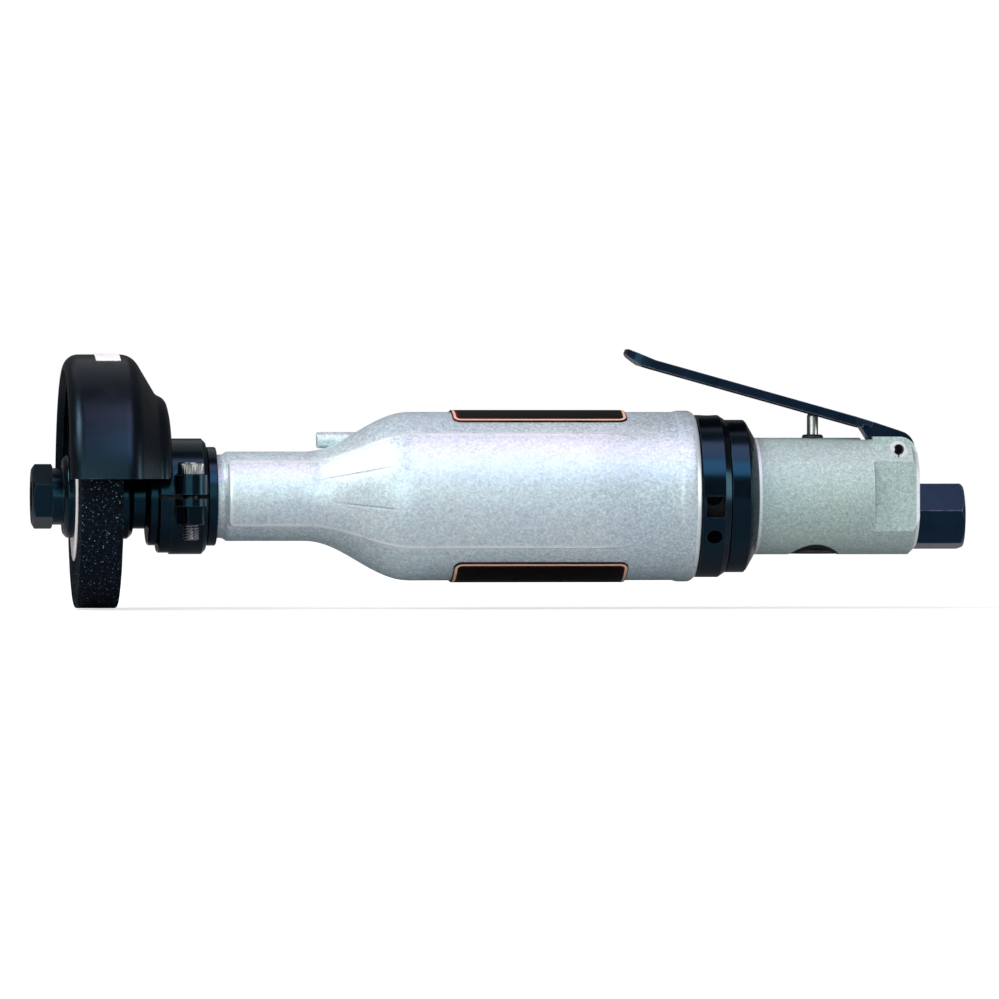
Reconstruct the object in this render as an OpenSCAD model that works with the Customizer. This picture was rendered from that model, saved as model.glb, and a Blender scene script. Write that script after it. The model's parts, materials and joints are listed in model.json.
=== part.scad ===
/* [Case] */
// Radius of the barrel, the grip part of the case
barrel_r = 25.3; // [25:0.1:27]
// Length of the barrel, from the end of the taper to the rear face
barrel_len = 85.8; // [82:0.1:90]
// Length of the taper between neck and barrel
taper_len = 31.6; // [28:0.5:36]
// Radius of the neck
neck_r = 13.4; // [13:0.1:14]
// Length of the neck in front of the taper
neck_len = 26.7; // [24:0.1:34]
// Radius of the nose that carries the guard
nose_r = 12.2; // [11.9:0.1:12.6]
// Radius of the stop ring behind the guard collar
stop_flange_r = 14.8; // [14.4:0.1:16]
// Length of the stop ring
stop_flange_len = 3.1; // [2:0.1:4]
// Depth of the groove between stop ring and neck
neck_groove = 0.9; // [0.5:0.1:1.2]
// Height of the lip round the rear face
rear_lip = 0.4; // [0.2:0.1:1]
// Width of the lip round the rear face
rear_lip_len = 5.4; // [3:0.1:6]
// Height of the grip pads over the case
pad_h = 0.8; // [0.5:0.1:1.2]
// Half width of the grip pad on the neck
pad_neck_w = 9.9; // [8:0.1:11]
// Half width of the grip pad on the barrel
pad_barrel_w = 17.3; // [15:0.1:18]
// Plain barrel left behind the grip pad
pad_back_gap = 15.6; // [9:0.1:20]
// Radius of the corners at the rear end of the grip pad
pad_corner_r = 9; // [5:0.5:12]
// Radius of the boss that stands forward out of the taper
boss_r = 2.4; // [2:0.1:2.8]
// Distance of the boss from the axis
boss_reach = 17.1; // [16.6:0.1:17.4]
// Angle of the boss from the middle of the top plate, towards the far side
boss_angle = 5; // [0:1:30]
// Distance of the front of the boss from the front of the taper
boss_from_taper = 4; // [3:0.1:5]
// Turn of the case about its axis, near side up
case_roll = 5; // [0:0.5:8]

/* [Plates] */
// Length of each nameplate
plate_len = 52.5; // [40:0.5:56]
// Half angle of each nameplate round the barrel
plate_half_angle = 34; // [26:1:38]
// Thickness of each nameplate
plate_t = 0.9; // [0.8:0.1:1.2]
// Height of each nameplate over the barrel
plate_rise = 0.6; // [0.3:0.1:0.7]
// Plain barrel left behind the nameplates
plate_back_gap = 21.1; // [16:0.1:24]

/* [Front cap and spindle] */
// Radius of the front cap disc
cap_r = 14.7; // [14:0.1:15.2]
// Thickness of the front cap disc
cap_t = 2.9; // [2.4:0.1:4]
// Length of the front cap spigot in the nose
cap_spigot_len = 4.9; // [4.5:0.1:6]
// Radius of the spindle under the shaft seal
seal_journal_r = 6; // [5.8:0.1:6.4]
// Outer radius of the shaft seal
seal_r = 8.6; // [8.2:0.1:8.8]
// Width of the shaft seal
seal_w = 3.4; // [2.8:0.1:3.8]
// Radius of the spindle where the wheel sits
wheel_seat_r = 4.76; // [4.5:0.01:5]
// Radius of the spindle shoulder
shoulder_r = 9.7; // [9:0.1:10.5]
// Thickness of the spindle shoulder
shoulder_t = 4.2; // [3:0.1:6]
// Radius of the spindle between its bearings
shaft_r = 5.8; // [5.5:0.1:6.1]
// Length of the hexagonal drive tails
drive_tail_len = 11; // [9:0.5:12]
// Corner radius of the hexagonal drive tails
drive_tail_r = 3.9; // [3.6:0.05:3.95]
// Outer radius of the drive coupling
coupling_r = 7.6; // [7:0.1:9]
// Space between the two drive tails in the coupling
coupling_gap = 3; // [1.5:0.5:5]

/* [Bearings] */
// Bore radius of the spindle bearings
spindle_bearing_bore_r = 5; // [4.8:0.05:5.2]
// Outer radius of all bearings
bearing_r = 9.5; // [9.3:0.05:9.6]
// Width of the spindle bearings
spindle_bearing_w = 7; // [6:0.5:8]
// Bore radius of the rotor bearings
rotor_bearing_bore_r = 4; // [3.97:0.01:4.1]
// Width of the rotor bearings
rotor_bearing_w = 6; // [5:0.5:7]
// Balls in each bearing
ball_count = 7; // [6:1:8]

/* [Wheel] */
// Radius of the grinding wheel
wheel_r = 33.5; // [30:0.5:35]
// Thickness of the grinding wheel
wheel_w = 12.7; // [10:0.1:14]
// Radius of the paper blotter on the front of the wheel
label_r = 19.3; // [14:0.1:24]
// Thickness of the paper blotter
label_t = 0.3; // [0.2:0.05:0.5]
// Radius of the inner flange
inner_flange_r = 12.75; // [11:0.05:15]
// Thickness of the inner flange
inner_flange_t = 4.5; // [3:0.1:6]
// Radius of the outer flange
outer_flange_r = 12.4; // [11:0.1:15]
// Thickness of the outer flange
outer_flange_t = 3.3; // [2.5:0.1:5]
// Hexagon size of the wheel nut across its flats
nut_af = 17; // [16:0.5:19]
// Height of the hexagon of the wheel nut
nut_hex_h = 6.2; // [5:0.1:8]
// Radius of the collar of the wheel nut
nut_collar_r = 8.5; // [8:0.1:9.5]
// Height of the collar of the wheel nut
nut_collar_h = 3.1; // [2:0.1:4]

/* [Guard] */
// Outer radius of the guard band
guard_r = 42.5; // [41:0.25:46]
// Wall of the guard
guard_wall = 2.3; // [1.8:0.1:2.6]
// Depth of the guard from its back plate to its mouth
guard_depth = 31.7; // [30:0.1:35]
// Radius of the rolled lip at the mouth
guard_lip_r = 4.5; // [3:0.1:5]
// Radius of the bend between band and cone
guard_bend_r = 6; // [4:0.5:8]
// Length of the cone behind the band
guard_cone_len = 7.4; // [7:0.1:10]
// Radius of the pressed step on the back plate
guard_step_r = 29.7; // [26:0.1:31]
// Height of the pressed step on the back plate
guard_step_h = 3.2; // [2.6:0.1:4]
// Thickness of the back plate at the collar
guard_plate_t = 3; // [2.4:0.1:3.3]
// Height of the cut edge of the guard over the axis
guard_cut_z = 5.3; // [2:0.1:8]
// Outer radius of the guard collar
collar_r = 17.35; // [17:0.05:18]
// Length of the guard collar
collar_len = 14.5; // [14:0.1:18]
// Radius of the collar spigot that carries the guard plate
collar_spigot_r = 16.9; // [15:0.1:17]
// Length of the collar spigot
collar_spigot_len = 3.7; // [3.5:0.1:4.5]
// Width of the slit in the collar
collar_slit = 1.2; // [0.8:0.1:2]
// Distance of the clamp screw from the axis
clamp_screw_y = 20; // [19.5:0.1:22]
// Height of the upper clamp ear over the slit
clamp_ear_up = 6.5; // [4.5:0.1:7]
// Depth of the lower clamp ear under the slit
clamp_ear_down = 2.9; // [2.4:0.1:4]
// Radius of the clamp screw
clamp_screw_r = 2.5; // [2.3:0.1:2.6]
// Radius of the clamp screw head
clamp_head_r = 3.9; // [3.7:0.05:4.4]
// Height of the clamp screw head
clamp_head_h = 3.8; // [3.4:0.1:5]
// Hexagon size of the clamp nut across its flats
clamp_nut_af = 8; // [7.5:0.1:8.4]
// Height of the clamp nut
clamp_nut_h = 5.6; // [4:0.1:6]
// Thread left standing out of the clamp nut
clamp_screw_tail = 4.5; // [2:0.1:5]
// Width of the sticker on the guard, along the axis
sticker_w = 7.4; // [5:0.1:9]
// Angle of the sticker round the guard
sticker_angle = 20; // [10:1:30]

/* [Air motor] */
// Outer radius of the cylinder liner and its end plates
liner_r = 21.4; // [21:0.1:21.6]
// Bore radius of the cylinder liner
liner_bore_r = 17.4; // [17.2:0.05:17.5]
// Length of the cylinder liner
liner_len = 50; // [46:0.5:50]
// Distance between the liner bore and the spindle axis
liner_offset = 1.55; // [1.4:0.05:1.6]
// Radius of the rotor
rotor_r = 15.7; // [15.5:0.05:15.7]
// Vanes in the rotor
vane_count = 5; // [4:1:5]
// Thickness of each vane
vane_t = 2.3; // [2:0.1:2.6]
// Height of each vane
vane_h = 7.4; // [6:0.1:8]
// Thickness of the front end plate
front_plate_t = 8; // [8:0.1:10]
// Thickness of the rear end plate
rear_plate_t = 9; // [8:0.1:9]
// Radius of the dowel that lines up liner and end plates
dowel_r = 1.2; // [1:0.1:1.4]
// Depth of the dowel in each end plate
dowel_depth = 3.8; // [3:0.1:5]
// Radius of the air ports in the rear end plate
air_port_r = 1.8; // [1.4:0.1:2]
// Distance of the air ports from the axis
air_port_reach = 13; // [12.6:0.1:14]

/* [Rings] */
// Radius of the exhaust ring
exhaust_ring_r = 24.4; // [23.5:0.1:25]
// Width of the exhaust ring
exhaust_ring_w = 8.9; // [8.7:0.1:12]
// Openings in the exhaust ring
exhaust_window_count = 3; // [2:1:4]
// Length of each exhaust opening along the axis
exhaust_window_len = 5.6; // [4:0.1:6.5]
// Width of each exhaust opening
exhaust_window_w = 6.4; // [5:0.1:7.5]
// Radius of the spanner holes in the exhaust ring
spanner_hole_r = 2.4; // [2:0.1:2.6]
// Radius of the rear ring
rear_ring_r = 22.95; // [22:0.05:24]
// Width of the rear ring over its full radius
rear_ring_w = 6.4; // [6:0.1:9]
// Length of the bevel behind the rear ring
rear_ring_bevel = 2.6; // [1.5:0.1:3.5]

/* [Throttle] */
// Radius of the throttle body
body_r = 17.56; // [17.3:0.02:18]
// Length of the throttle body behind the rings
body_len = 48.8; // [47:0.1:52]
// Radius of the throttle body under the exhaust ring
journal_r = 18.5; // [18.3:0.1:19]
// Length of the threaded spigot in the case
spigot_len = 13.4; // [12:0.1:15]
// Half width of the body across its wrench flats
flat_half = 14.1; // [13.6:0.1:15]
// Length of the wrench flats
flat_len = 14; // [11:0.1:15]
// Height of the ears over the round of the body
ear_rise = 0.3; // [0.2:0.02:1]
// Half width of the ears across the slot
ear_half = 8.5; // [8:0.1:9.5]
// Radius of the rounded corner at the top of the rear end
ear_corner_r = 5.5; // [4:0.1:6]
// Distance of the valve from the front end of the body
valve_from_front = 18.1; // [17:0.1:20]
// Radius of the valve chamber
chamber_r = 6.25; // [6.1:0.05:6.5]
// Radius of the recess round the bottom plug
plug_recess_r = 7.7; // [7.2:0.1:8.4]
// Depth at which the bottom plug sits under the round of the body
plug_depth = 1.4; // [1:0.1:2]
// Height of the bottom plug
plug_h = 5.4; // [5:0.1:5.8]
// Radius of the valve stem
stem_r = 1.7; // [1.5:0.05:1.8]
// Radius of the stem bush
bush_r = 3.2; // [3:0.1:3.5]
// Height of the stem bush over the body
bush_rise = 1; // [0.6:0.1:1.4]
// Radius of the rubber valve disc
valve_disc_r = 4.6; // [4.4:0.05:5]
// Wire radius of the valve spring
spring_wire_r = 0.35; // [0.3:0.05:0.4]
// Turns of the valve spring
spring_turns = 4; // [3:1:4]

/* [Lever] */
// Height of the lever pivot over the axis
pivot_z = 14; // [13.7:0.1:14.3]
// Distance of the lever pivot from the rear end of the body
pivot_from_rear = 5.9; // [5.2:0.1:6]
// Radius of the lever pin
pin_r = 2.4; // [2.2:0.05:2.5]
// Radius of the core of the lever pin
pin_core_r = 1.55; // [1.3:0.05:1.6]
// Length of the lever pin
pin_len = 20.8; // [18:0.1:21]
// Slope of the lever at rest
lever_slope = 15.6; // [15.3:0.1:17]
// Length of the lever from its pivot to its tip
lever_len = 86.6; // [80:0.1:92]
// Depth of the lever channel
lever_depth = 2.7; // [2.4:0.1:3.6]
// Distance of the lever top from the pivot
lever_top = 6.2; // [6.1:0.02:7.4]
// Thickness of the lever sheet
lever_sheet = 1.6; // [1.2:0.1:2]
// Half width of the lever blade
lever_half = 7.5; // [6:0.1:9]
// Radius of the lever lug round the pin
lug_r = 5.8; // [5.2:0.1:6]
// Half width of the lever lug
lug_half = 4.2; // [3.6:0.1:4.6]

/* [Air inlet] */
// Hexagon size of the inlet bushing across its flats
inlet_af = 18.25; // [17:0.25:19]
// Length of the hexagon of the inlet bushing
inlet_len = 14.6; // [14:0.1:18]
// Depth of the inlet under the spindle axis
inlet_drop = 6.1; // [5.8:0.1:6.4]
// Turn of the inlet hexagon
inlet_turn = 9.5; // [0:0.5:30]
// Radius of the inlet thread wall
inlet_thread_r = 5.7; // [5.5:0.1:5.9]
// Length of the inlet thread
inlet_thread_len = 12; // [10:0.5:13]
// Radius of the inlet spigot in the throttle body
inlet_spigot_r = 7.6; // [7.3:0.1:7.9]
// Length of the inlet spigot in the throttle body
inlet_spigot_len = 11; // [9:0.5:13]

/* [Clearances] */
// Radial clearance of turning fits
run_gap = 0.05; // [0.03:0.01:0.08]
// Gap between end faces that move past each other
end_gap = 0.1; // [0.08:0.01:0.15]
// Gap between the lever and what it works on
lever_gap = 0.15; // [0.1:0.01:0.2]

/* [Hidden] */
$fn = 72;
eps = 0.5;

// Stations along the spindle axis, counted from the rear face of the case
taper_x1 = -barrel_len;
taper_x0 = taper_x1 - taper_len;
neck_x0 = taper_x0 - neck_len;
nose_x1 = neck_x0 - stop_flange_len;
nose_x0 = nose_x1 - collar_len - 2 * end_gap;
collar_x0 = nose_x0 + end_gap;
guard_plate_x1 = collar_x0 + collar_spigot_len;
cap_x0 = nose_x0 - cap_t;
front_bearing_x = nose_x0 + cap_spigot_len;
shoulder_x1 = cap_x0 - 1.5 * end_gap;
shoulder_x0 = shoulder_x1 - shoulder_t;
wheel_x1 = shoulder_x0 - inner_flange_t;
wheel_x0 = wheel_x1 - wheel_w;
outer_flange_x1 = wheel_x0 - label_t;
outer_flange_x0 = outer_flange_x1 - outer_flange_t;
nut_x0 = outer_flange_x0 - nut_collar_h - nut_hex_h;
spindle_x0 = nut_x0 + 1;

// Rings and throttle body
exhaust_ring_x0 = end_gap;
rear_ring_x0 = exhaust_ring_x0 + exhaust_ring_w + end_gap;
body_x0 = rear_ring_x0 + rear_ring_w + rear_ring_bevel;
body_x1 = body_x0 + body_len;
inlet_x1 = body_x1 + inlet_len;
valve_x = body_x0 + valve_from_front;
pivot_x = body_x1 - pivot_from_rear;

// Air motor, clamped between the throttle body and the step in the case
rear_plate_x0 = -spigot_len - rear_plate_t;
liner_x0 = rear_plate_x0 - liner_len;
front_plate_x0 = liner_x0 - front_plate_t;
plate_land = 1;
rotor_x0 = liner_x0 + end_gap;
rotor_x1 = rear_plate_x0 - end_gap;
rotor_front_bearing_x = liner_x0 - plate_land - rotor_bearing_w;
rotor_rear_bearing_x = rear_plate_x0 + 2 * plate_land;
rotor_tail_x1 = rotor_front_bearing_x;
rotor_tail_x0 = rotor_tail_x1 - drive_tail_len;
spindle_tail_x1 = rotor_tail_x0 - coupling_gap;
rear_bearing_x = spindle_tail_x1 - drive_tail_len - spindle_bearing_w;
coupling_cover = 2;
coupling_x0 = spindle_tail_x1 - drive_tail_len + coupling_cover;
coupling_x1 = rotor_tail_x1 - coupling_cover;
coupling_bore_r = drive_tail_r + run_gap;

// Inside of the case
bearing_shoulder = 1.6;
shaft_bore_r = bearing_r - bearing_shoulder;
coupling_room_r = coupling_r + 3;
dowel_y = (liner_r + liner_bore_r - liner_offset) / 2;

// Guard
guard_mouth_x = guard_plate_x1 - guard_depth;
guard_mouth_r = guard_r - guard_lip_r;
guard_cone_x1 = guard_plate_x1 - guard_step_h - 0.9;
guard_cone_x0 = guard_cone_x1 - guard_cone_len;
guard_cone_r = guard_step_r + 0.6;
clamp_x = collar_x0 + collar_spigot_len + (collar_len - collar_spigot_len) / 2 - 0.1;
clamp_ear_r = (collar_len - collar_spigot_len - 1.2) / 2;
sticker_x = (guard_mouth_x + guard_lip_r + guard_cone_x0) / 2 + 0.5;
clamp_nut_corner_r = clamp_nut_af / 2 / cos(30);
spot_gap = 0.4;

// Throttle valve
bush_z0 = 10;
seat_z0 = 0;
seat_h = 3;
seat_bore_r = stem_r + 1.7;
passage_z = 5.9;
passage_r = 2.6;
exhaust_core_r = 9.5;
plug_z0 = plug_depth - body_r;
plug_z1 = plug_z0 + plug_h;
spring_pocket = 1.6;
spring_z0 = plug_z1 - spring_pocket;
disc_t = 2.4;
disc_z1 = seat_z0 - 0.05;
disc_z0 = disc_z1 - disc_t;
stem_collar_t = 1.4;
stem_collar_r = 4.1;
spring_z1 = disc_z0 - stem_collar_t;
spring_r = 3.1;
o_ring_r = 0.75;

// Lever
lever_web_v = lever_top - lever_sheet;
lever_base_v = lever_top - lever_depth;
stem_tip_x = valve_x - pivot_x;
stem_tip_z = pivot_z
    + (lever_web_v - stem_r - lever_gap - stem_tip_x * sin(lever_slope)) / cos(lever_slope);
slot_half = lug_half + 0.2;
slot_floor = pivot_z - lug_r - 1;
slot_x0 = pivot_x - 10.6;
ear_x0 = pivot_x - 7.4;

// Inlet
inlet_bore_r = 4.5;
inlet_spigot_x0 = body_x1 - inlet_spigot_len;
screen_t = 0.8;
screen_r = inlet_thread_r - 0.6;

// The origin of the part is the middle of the mouth of the air inlet
module in_frame() {
    translate([-inlet_x1, 0, inlet_drop]) children();
}

// Points of an arc in an outline, from angle a0 to a1
function arc(cx, cy, r, a0, a1, n) =
    [for (i = [0:n]) [cx + r * cos(a0 + (a1 - a0) * i / n), cy + r * sin(a0 + (a1 - a0) * i / n)]];

// Turns an outline of radius and station about the spindle axis
module turned(outline) {
    rotate([0, 90, 0]) rotate_extrude() polygon(outline);
}

// Straight round bar along the axis
module bar(r, x0, x1) {
    translate([x0, 0, 0]) rotate([0, 90, 0]) cylinder(r = r, h = x1 - x0);
}

// Round bar with a bore through it
module tube(r, bore, x0, x1) {
    difference() {
        bar(r, x0, x1);
        bar(bore, x0 - eps, x1 + eps);
    }
}

// Hexagonal bar along the axis
module hex_bar(corner_r, x0, x1, turn = 0) {
    translate([x0, 0, 0]) rotate([0, 90, 0]) rotate([0, 0, turn])
        cylinder(r = corner_r, h = x1 - x0, $fn = 6);
}

// Part of a turned shape that lies inside a pair of angles round the axis
module sector(r, x0, x1, middle, half) {
    reach = r / cos(half) + 1;
    rotate([middle, 0, 0]) translate([x0, 0, 0]) rotate([90, 0, 90])
        linear_extrude(x1 - x0) polygon([[0, 0], [reach * sin(half), reach * cos(half)],
            [reach * sin(half), reach + 1], [-reach * sin(half), reach + 1],
            [-reach * sin(half), reach * cos(half)]]);
}

// Outer surface of the case: the taper is half a cosine wave
function taper_r(u) = neck_r + (barrel_r - neck_r) * (1 - cos(180 * u)) / 2;
function case_side(rise) = concat(
    [[neck_r - neck_groove + rise, neck_x0], [neck_r - neck_groove + rise, neck_x0 + 2.2],
     [neck_r + rise, neck_x0 + 3.1]],
    [for (i = [0:12]) [taper_r(i / 12) + rise, taper_x0 + taper_len * i / 12]]);

module case_body() {
    turned(concat(
        [[0, nose_x0], [nose_r, nose_x0], [nose_r, neck_x0]],
        case_side(0),
        [[barrel_r, -rear_lip_len - 0.8], [barrel_r + rear_lip, -rear_lip_len],
         [barrel_r + rear_lip, -1.4], [barrel_r + rear_lip - 1, 0], [0, 0]]));
}

// Side view of the grip pad, as wide as the case is thick
function pad_w(u) = pad_neck_w + (pad_barrel_w - pad_neck_w) * (1 - cos(180 * u)) / 2;
function pad_edge() = concat(
    [[neck_x0 + 3.1, pad_neck_w - 1.5], [neck_x0 + 4.6, pad_neck_w]],
    [for (i = [0:8]) [taper_x0 + taper_len * i / 8, pad_w(i / 8)]],
    arc(-pad_back_gap - pad_corner_r, pad_barrel_w - pad_corner_r, pad_corner_r, 90, 0, 8));
function mirrored(points) = [for (i = [len(points) - 1:-1:0]) [points[i][0], -points[i][1]]];

module grip_pads() {
    intersection() {
        turned(concat([[0, neck_x0 + 3.1]], [for (p = case_side(pad_h)) if (p[1] > neck_x0 + 3) p],
            [[barrel_r + pad_h, -pad_back_gap], [0, -pad_back_gap]]));
        rotate([90, 0, 0]) linear_extrude(2 * barrel_r + 10, center = true)
            polygon(concat(pad_edge(), mirrored(pad_edge())));
    }
}

// Round boss along the axis, standing clear of the front of the taper and running into its rear
module far_boss() {
    rotate([-boss_angle, 0, 0]) translate([0, 0, boss_reach])
        bar(boss_r, taper_x0 + boss_from_taper, taper_x0 + taper_len * 0.6);
}

module case_bore() {
    turned([[0, nose_x0 - eps], [bearing_r, nose_x0 - eps],
        [bearing_r, front_bearing_x + spindle_bearing_w],
        [shaft_bore_r, front_bearing_x + spindle_bearing_w], [shaft_bore_r, rear_bearing_x],
        [bearing_r, rear_bearing_x], [bearing_r, rear_bearing_x + spindle_bearing_w + 1.5],
        [coupling_room_r, rear_bearing_x + spindle_bearing_w + 3], [coupling_room_r, front_plate_x0 - 2.5],
        [liner_r - 6, front_plate_x0 - 2.5], [liner_r - 4, front_plate_x0],
        [liner_r, front_plate_x0], [liner_r, eps], [0, eps]]);
}

module plate_shape(inner, outer, side) {
    x1 = -plate_back_gap;
    x0 = x1 - plate_len;
    intersection() {
        tube(outer, inner, x0, x1);
        sector(outer, x0 - 1, x1 + 1, 180 * side, plate_half_angle);
    }
}

module housing() {
    color("silver") in_frame() rotate([-case_roll, 0, 0]) difference() {
        union() {
            case_body();
            grip_pads();
            far_boss();
        }
        case_bore();
        for (side = [0, 1])
            plate_shape(barrel_r + plate_rise - plate_t, barrel_r + 2, side);
    }
}

// Ring on the nose that stops the guard collar
module stop_ring() {
    color("black") in_frame() difference() {
        turned([[0, nose_x1], [stop_flange_r - 0.4, nose_x1], [stop_flange_r, nose_x1 + 0.4],
            [stop_flange_r, neck_x0 - 0.3], [stop_flange_r - 0.3, neck_x0], [0, neck_x0]]);
        bar(nose_r, nose_x1 - eps, neck_x0 + eps);
    }
}

module nameplate(side) {
    in_frame() rotate([-case_roll, 0, 0])
        plate_shape(barrel_r + plate_rise - plate_t, barrel_r + plate_rise, side);
}

module top_nameplate() {
    color("dimgray") nameplate(0);
}

module bottom_nameplate() {
    color("dimgray") nameplate(1);
}

module front_cap() {
    color("black") in_frame() difference() {
        turned([[0, cap_x0], [cap_r - 0.5, cap_x0], [cap_r, cap_x0 + 0.5], [cap_r, nose_x0],
            [bearing_r, nose_x0], [bearing_r, front_bearing_x], [0, front_bearing_x]]);
        bar(seal_journal_r + 0.3, cap_x0 - eps, front_bearing_x + eps);
        bar(seal_r, front_bearing_x - seal_w - 0.6, front_bearing_x + eps);
    }
}

module shaft_seal() {
    color("black") in_frame()
        tube(seal_r, seal_journal_r + run_gap, front_bearing_x - seal_w - 0.6, front_bearing_x - 0.6);
}

// Ball bearings: two grooved rings and balls in a cage
function ball_r(bore) = (bearing_r - bore) * 0.3;
function pitch_r(bore) = (bearing_r + bore) / 2;

module groove(bore, x) {
    translate([x, 0, 0]) rotate([0, 90, 0]) rotate_extrude()
        translate([pitch_r(bore), 0]) circle(r = ball_r(bore) + run_gap);
}

module bearing_outer(bore, x0, w) {
    difference() {
        tube(bearing_r, pitch_r(bore) + ball_r(bore) * 0.68, x0, x0 + w);
        groove(bore, x0 + w / 2);
    }
}

module bearing_inner(bore, x0, w) {
    difference() {
        tube(pitch_r(bore) - ball_r(bore) * 0.68, bore, x0, x0 + w);
        groove(bore, x0 + w / 2);
    }
}

module ball_ring(bore, x, r) {
    for (i = [0:ball_count - 1])
        translate([x, 0, 0]) rotate([360 * i / ball_count, 0, 0]) translate([0, 0, pitch_r(bore)])
            sphere(r = r);
}

module bearing_balls(bore, x0, w) {
    x = x0 + w / 2;
    ball_ring(bore, x, ball_r(bore));
    difference() {
        tube(pitch_r(bore) + ball_r(bore) * 0.4, pitch_r(bore) - ball_r(bore) * 0.4,
            x - ball_r(bore) - 0.6, x + ball_r(bore) + 0.6);
        ball_ring(bore, x, ball_r(bore) + 2 * run_gap);
    }
}

module front_bearing_outer() {
    color("lightgray") in_frame() bearing_outer(spindle_bearing_bore_r, front_bearing_x, spindle_bearing_w);
}

module front_bearing_inner() {
    color("lightgray") in_frame() bearing_inner(spindle_bearing_bore_r, front_bearing_x, spindle_bearing_w);
}

module front_bearing_balls() {
    color("gold") in_frame() bearing_balls(spindle_bearing_bore_r, front_bearing_x, spindle_bearing_w);
}

module rear_bearing_outer() {
    color("lightgray") in_frame() bearing_outer(spindle_bearing_bore_r, rear_bearing_x, spindle_bearing_w);
}

module rear_bearing_inner() {
    color("lightgray") in_frame() bearing_inner(spindle_bearing_bore_r, rear_bearing_x, spindle_bearing_w);
}

module rear_bearing_balls() {
    color("gold") in_frame() bearing_balls(spindle_bearing_bore_r, rear_bearing_x, spindle_bearing_w);
}

module spindle() {
    journal = spindle_bearing_bore_r;
    color("gray") in_frame() {
        turned([[0, spindle_x0], [wheel_seat_r - 0.8, spindle_x0], [wheel_seat_r, spindle_x0 + 0.8],
            [wheel_seat_r, shoulder_x0], [shoulder_r, shoulder_x0], [shoulder_r, shoulder_x1 - 0.5],
            [shoulder_r - 0.5, shoulder_x1], [seal_journal_r, shoulder_x1], [seal_journal_r, front_bearing_x],
            [journal, front_bearing_x], [journal, front_bearing_x + spindle_bearing_w],
            [shaft_r, front_bearing_x + spindle_bearing_w], [shaft_r, rear_bearing_x],
            [journal, rear_bearing_x], [journal, rear_bearing_x + spindle_bearing_w],
            [0, rear_bearing_x + spindle_bearing_w]]);
        hex_bar(drive_tail_r, rear_bearing_x + spindle_bearing_w, spindle_tail_x1);
    }
}

module drive_coupling() {
    color("dimgray") in_frame() difference() {
        turned([[0, coupling_x0], [coupling_r - 0.5, coupling_x0], [coupling_r, coupling_x0 + 0.5],
            [coupling_r, coupling_x1 - 0.5], [coupling_r - 0.5, coupling_x1], [0, coupling_x1]]);
        hex_bar(coupling_bore_r, coupling_x0 - eps, coupling_x1 + eps);
    }
}

module inner_flange() {
    color("black") in_frame() difference() {
        turned([[0, wheel_x1], [inner_flange_r, wheel_x1], [inner_flange_r, shoulder_x0 - 1.5],
            [inner_flange_r - 1.5, shoulder_x0], [0, shoulder_x0]]);
        bar(wheel_seat_r + 0.02, wheel_x1 - eps, shoulder_x0 + eps);
        turned([[0, wheel_x1 - eps], [inner_flange_r - 3, wheel_x1 - eps], [inner_flange_r - 3, wheel_x1],
            [inner_flange_r - 3.6, wheel_x1 + 0.6], [0, wheel_x1 + 0.6]]);
    }
}

module grinding_wheel() {
    color("darkslategray") in_frame() difference() {
        turned([[0, wheel_x0], [wheel_r - 0.4, wheel_x0], [wheel_r, wheel_x0 + 0.4],
            [wheel_r, wheel_x1 - 0.4], [wheel_r - 0.4, wheel_x1], [0, wheel_x1]]);
        bar(wheel_seat_r + 0.02, wheel_x0 - eps, wheel_x1 + eps);
    }
}

module wheel_label() {
    color("white") in_frame() tube(label_r, wheel_seat_r + 0.4, outer_flange_x1, wheel_x0);
}

module outer_flange() {
    color("black") in_frame() difference() {
        turned([[0, outer_flange_x0], [outer_flange_r - 1.2, outer_flange_x0],
            [outer_flange_r, outer_flange_x0 + 1.2], [outer_flange_r, outer_flange_x1],
            [0, outer_flange_x1]]);
        bar(wheel_seat_r + 0.02, outer_flange_x0 - eps, outer_flange_x1 + eps);
    }
}

module wheel_nut() {
    corner_r = nut_af / 2 / cos(30);
    hex_x1 = nut_x0 + nut_hex_h;
    color("black") in_frame() difference() {
        union() {
            intersection() {
                hex_bar(corner_r, nut_x0, hex_x1, 9);
                turned([[0, nut_x0], [corner_r - 1.6, nut_x0], [corner_r + 0.1, nut_x0 + 1],
                    [corner_r + 0.1, hex_x1 - 0.4], [corner_r - 0.7, hex_x1], [0, hex_x1]]);
            }
            bar(nut_collar_r, hex_x1 - 1, outer_flange_x0);
        }
        bar(wheel_seat_r, nut_x0 - eps, outer_flange_x0 + eps);
    }
}

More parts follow.
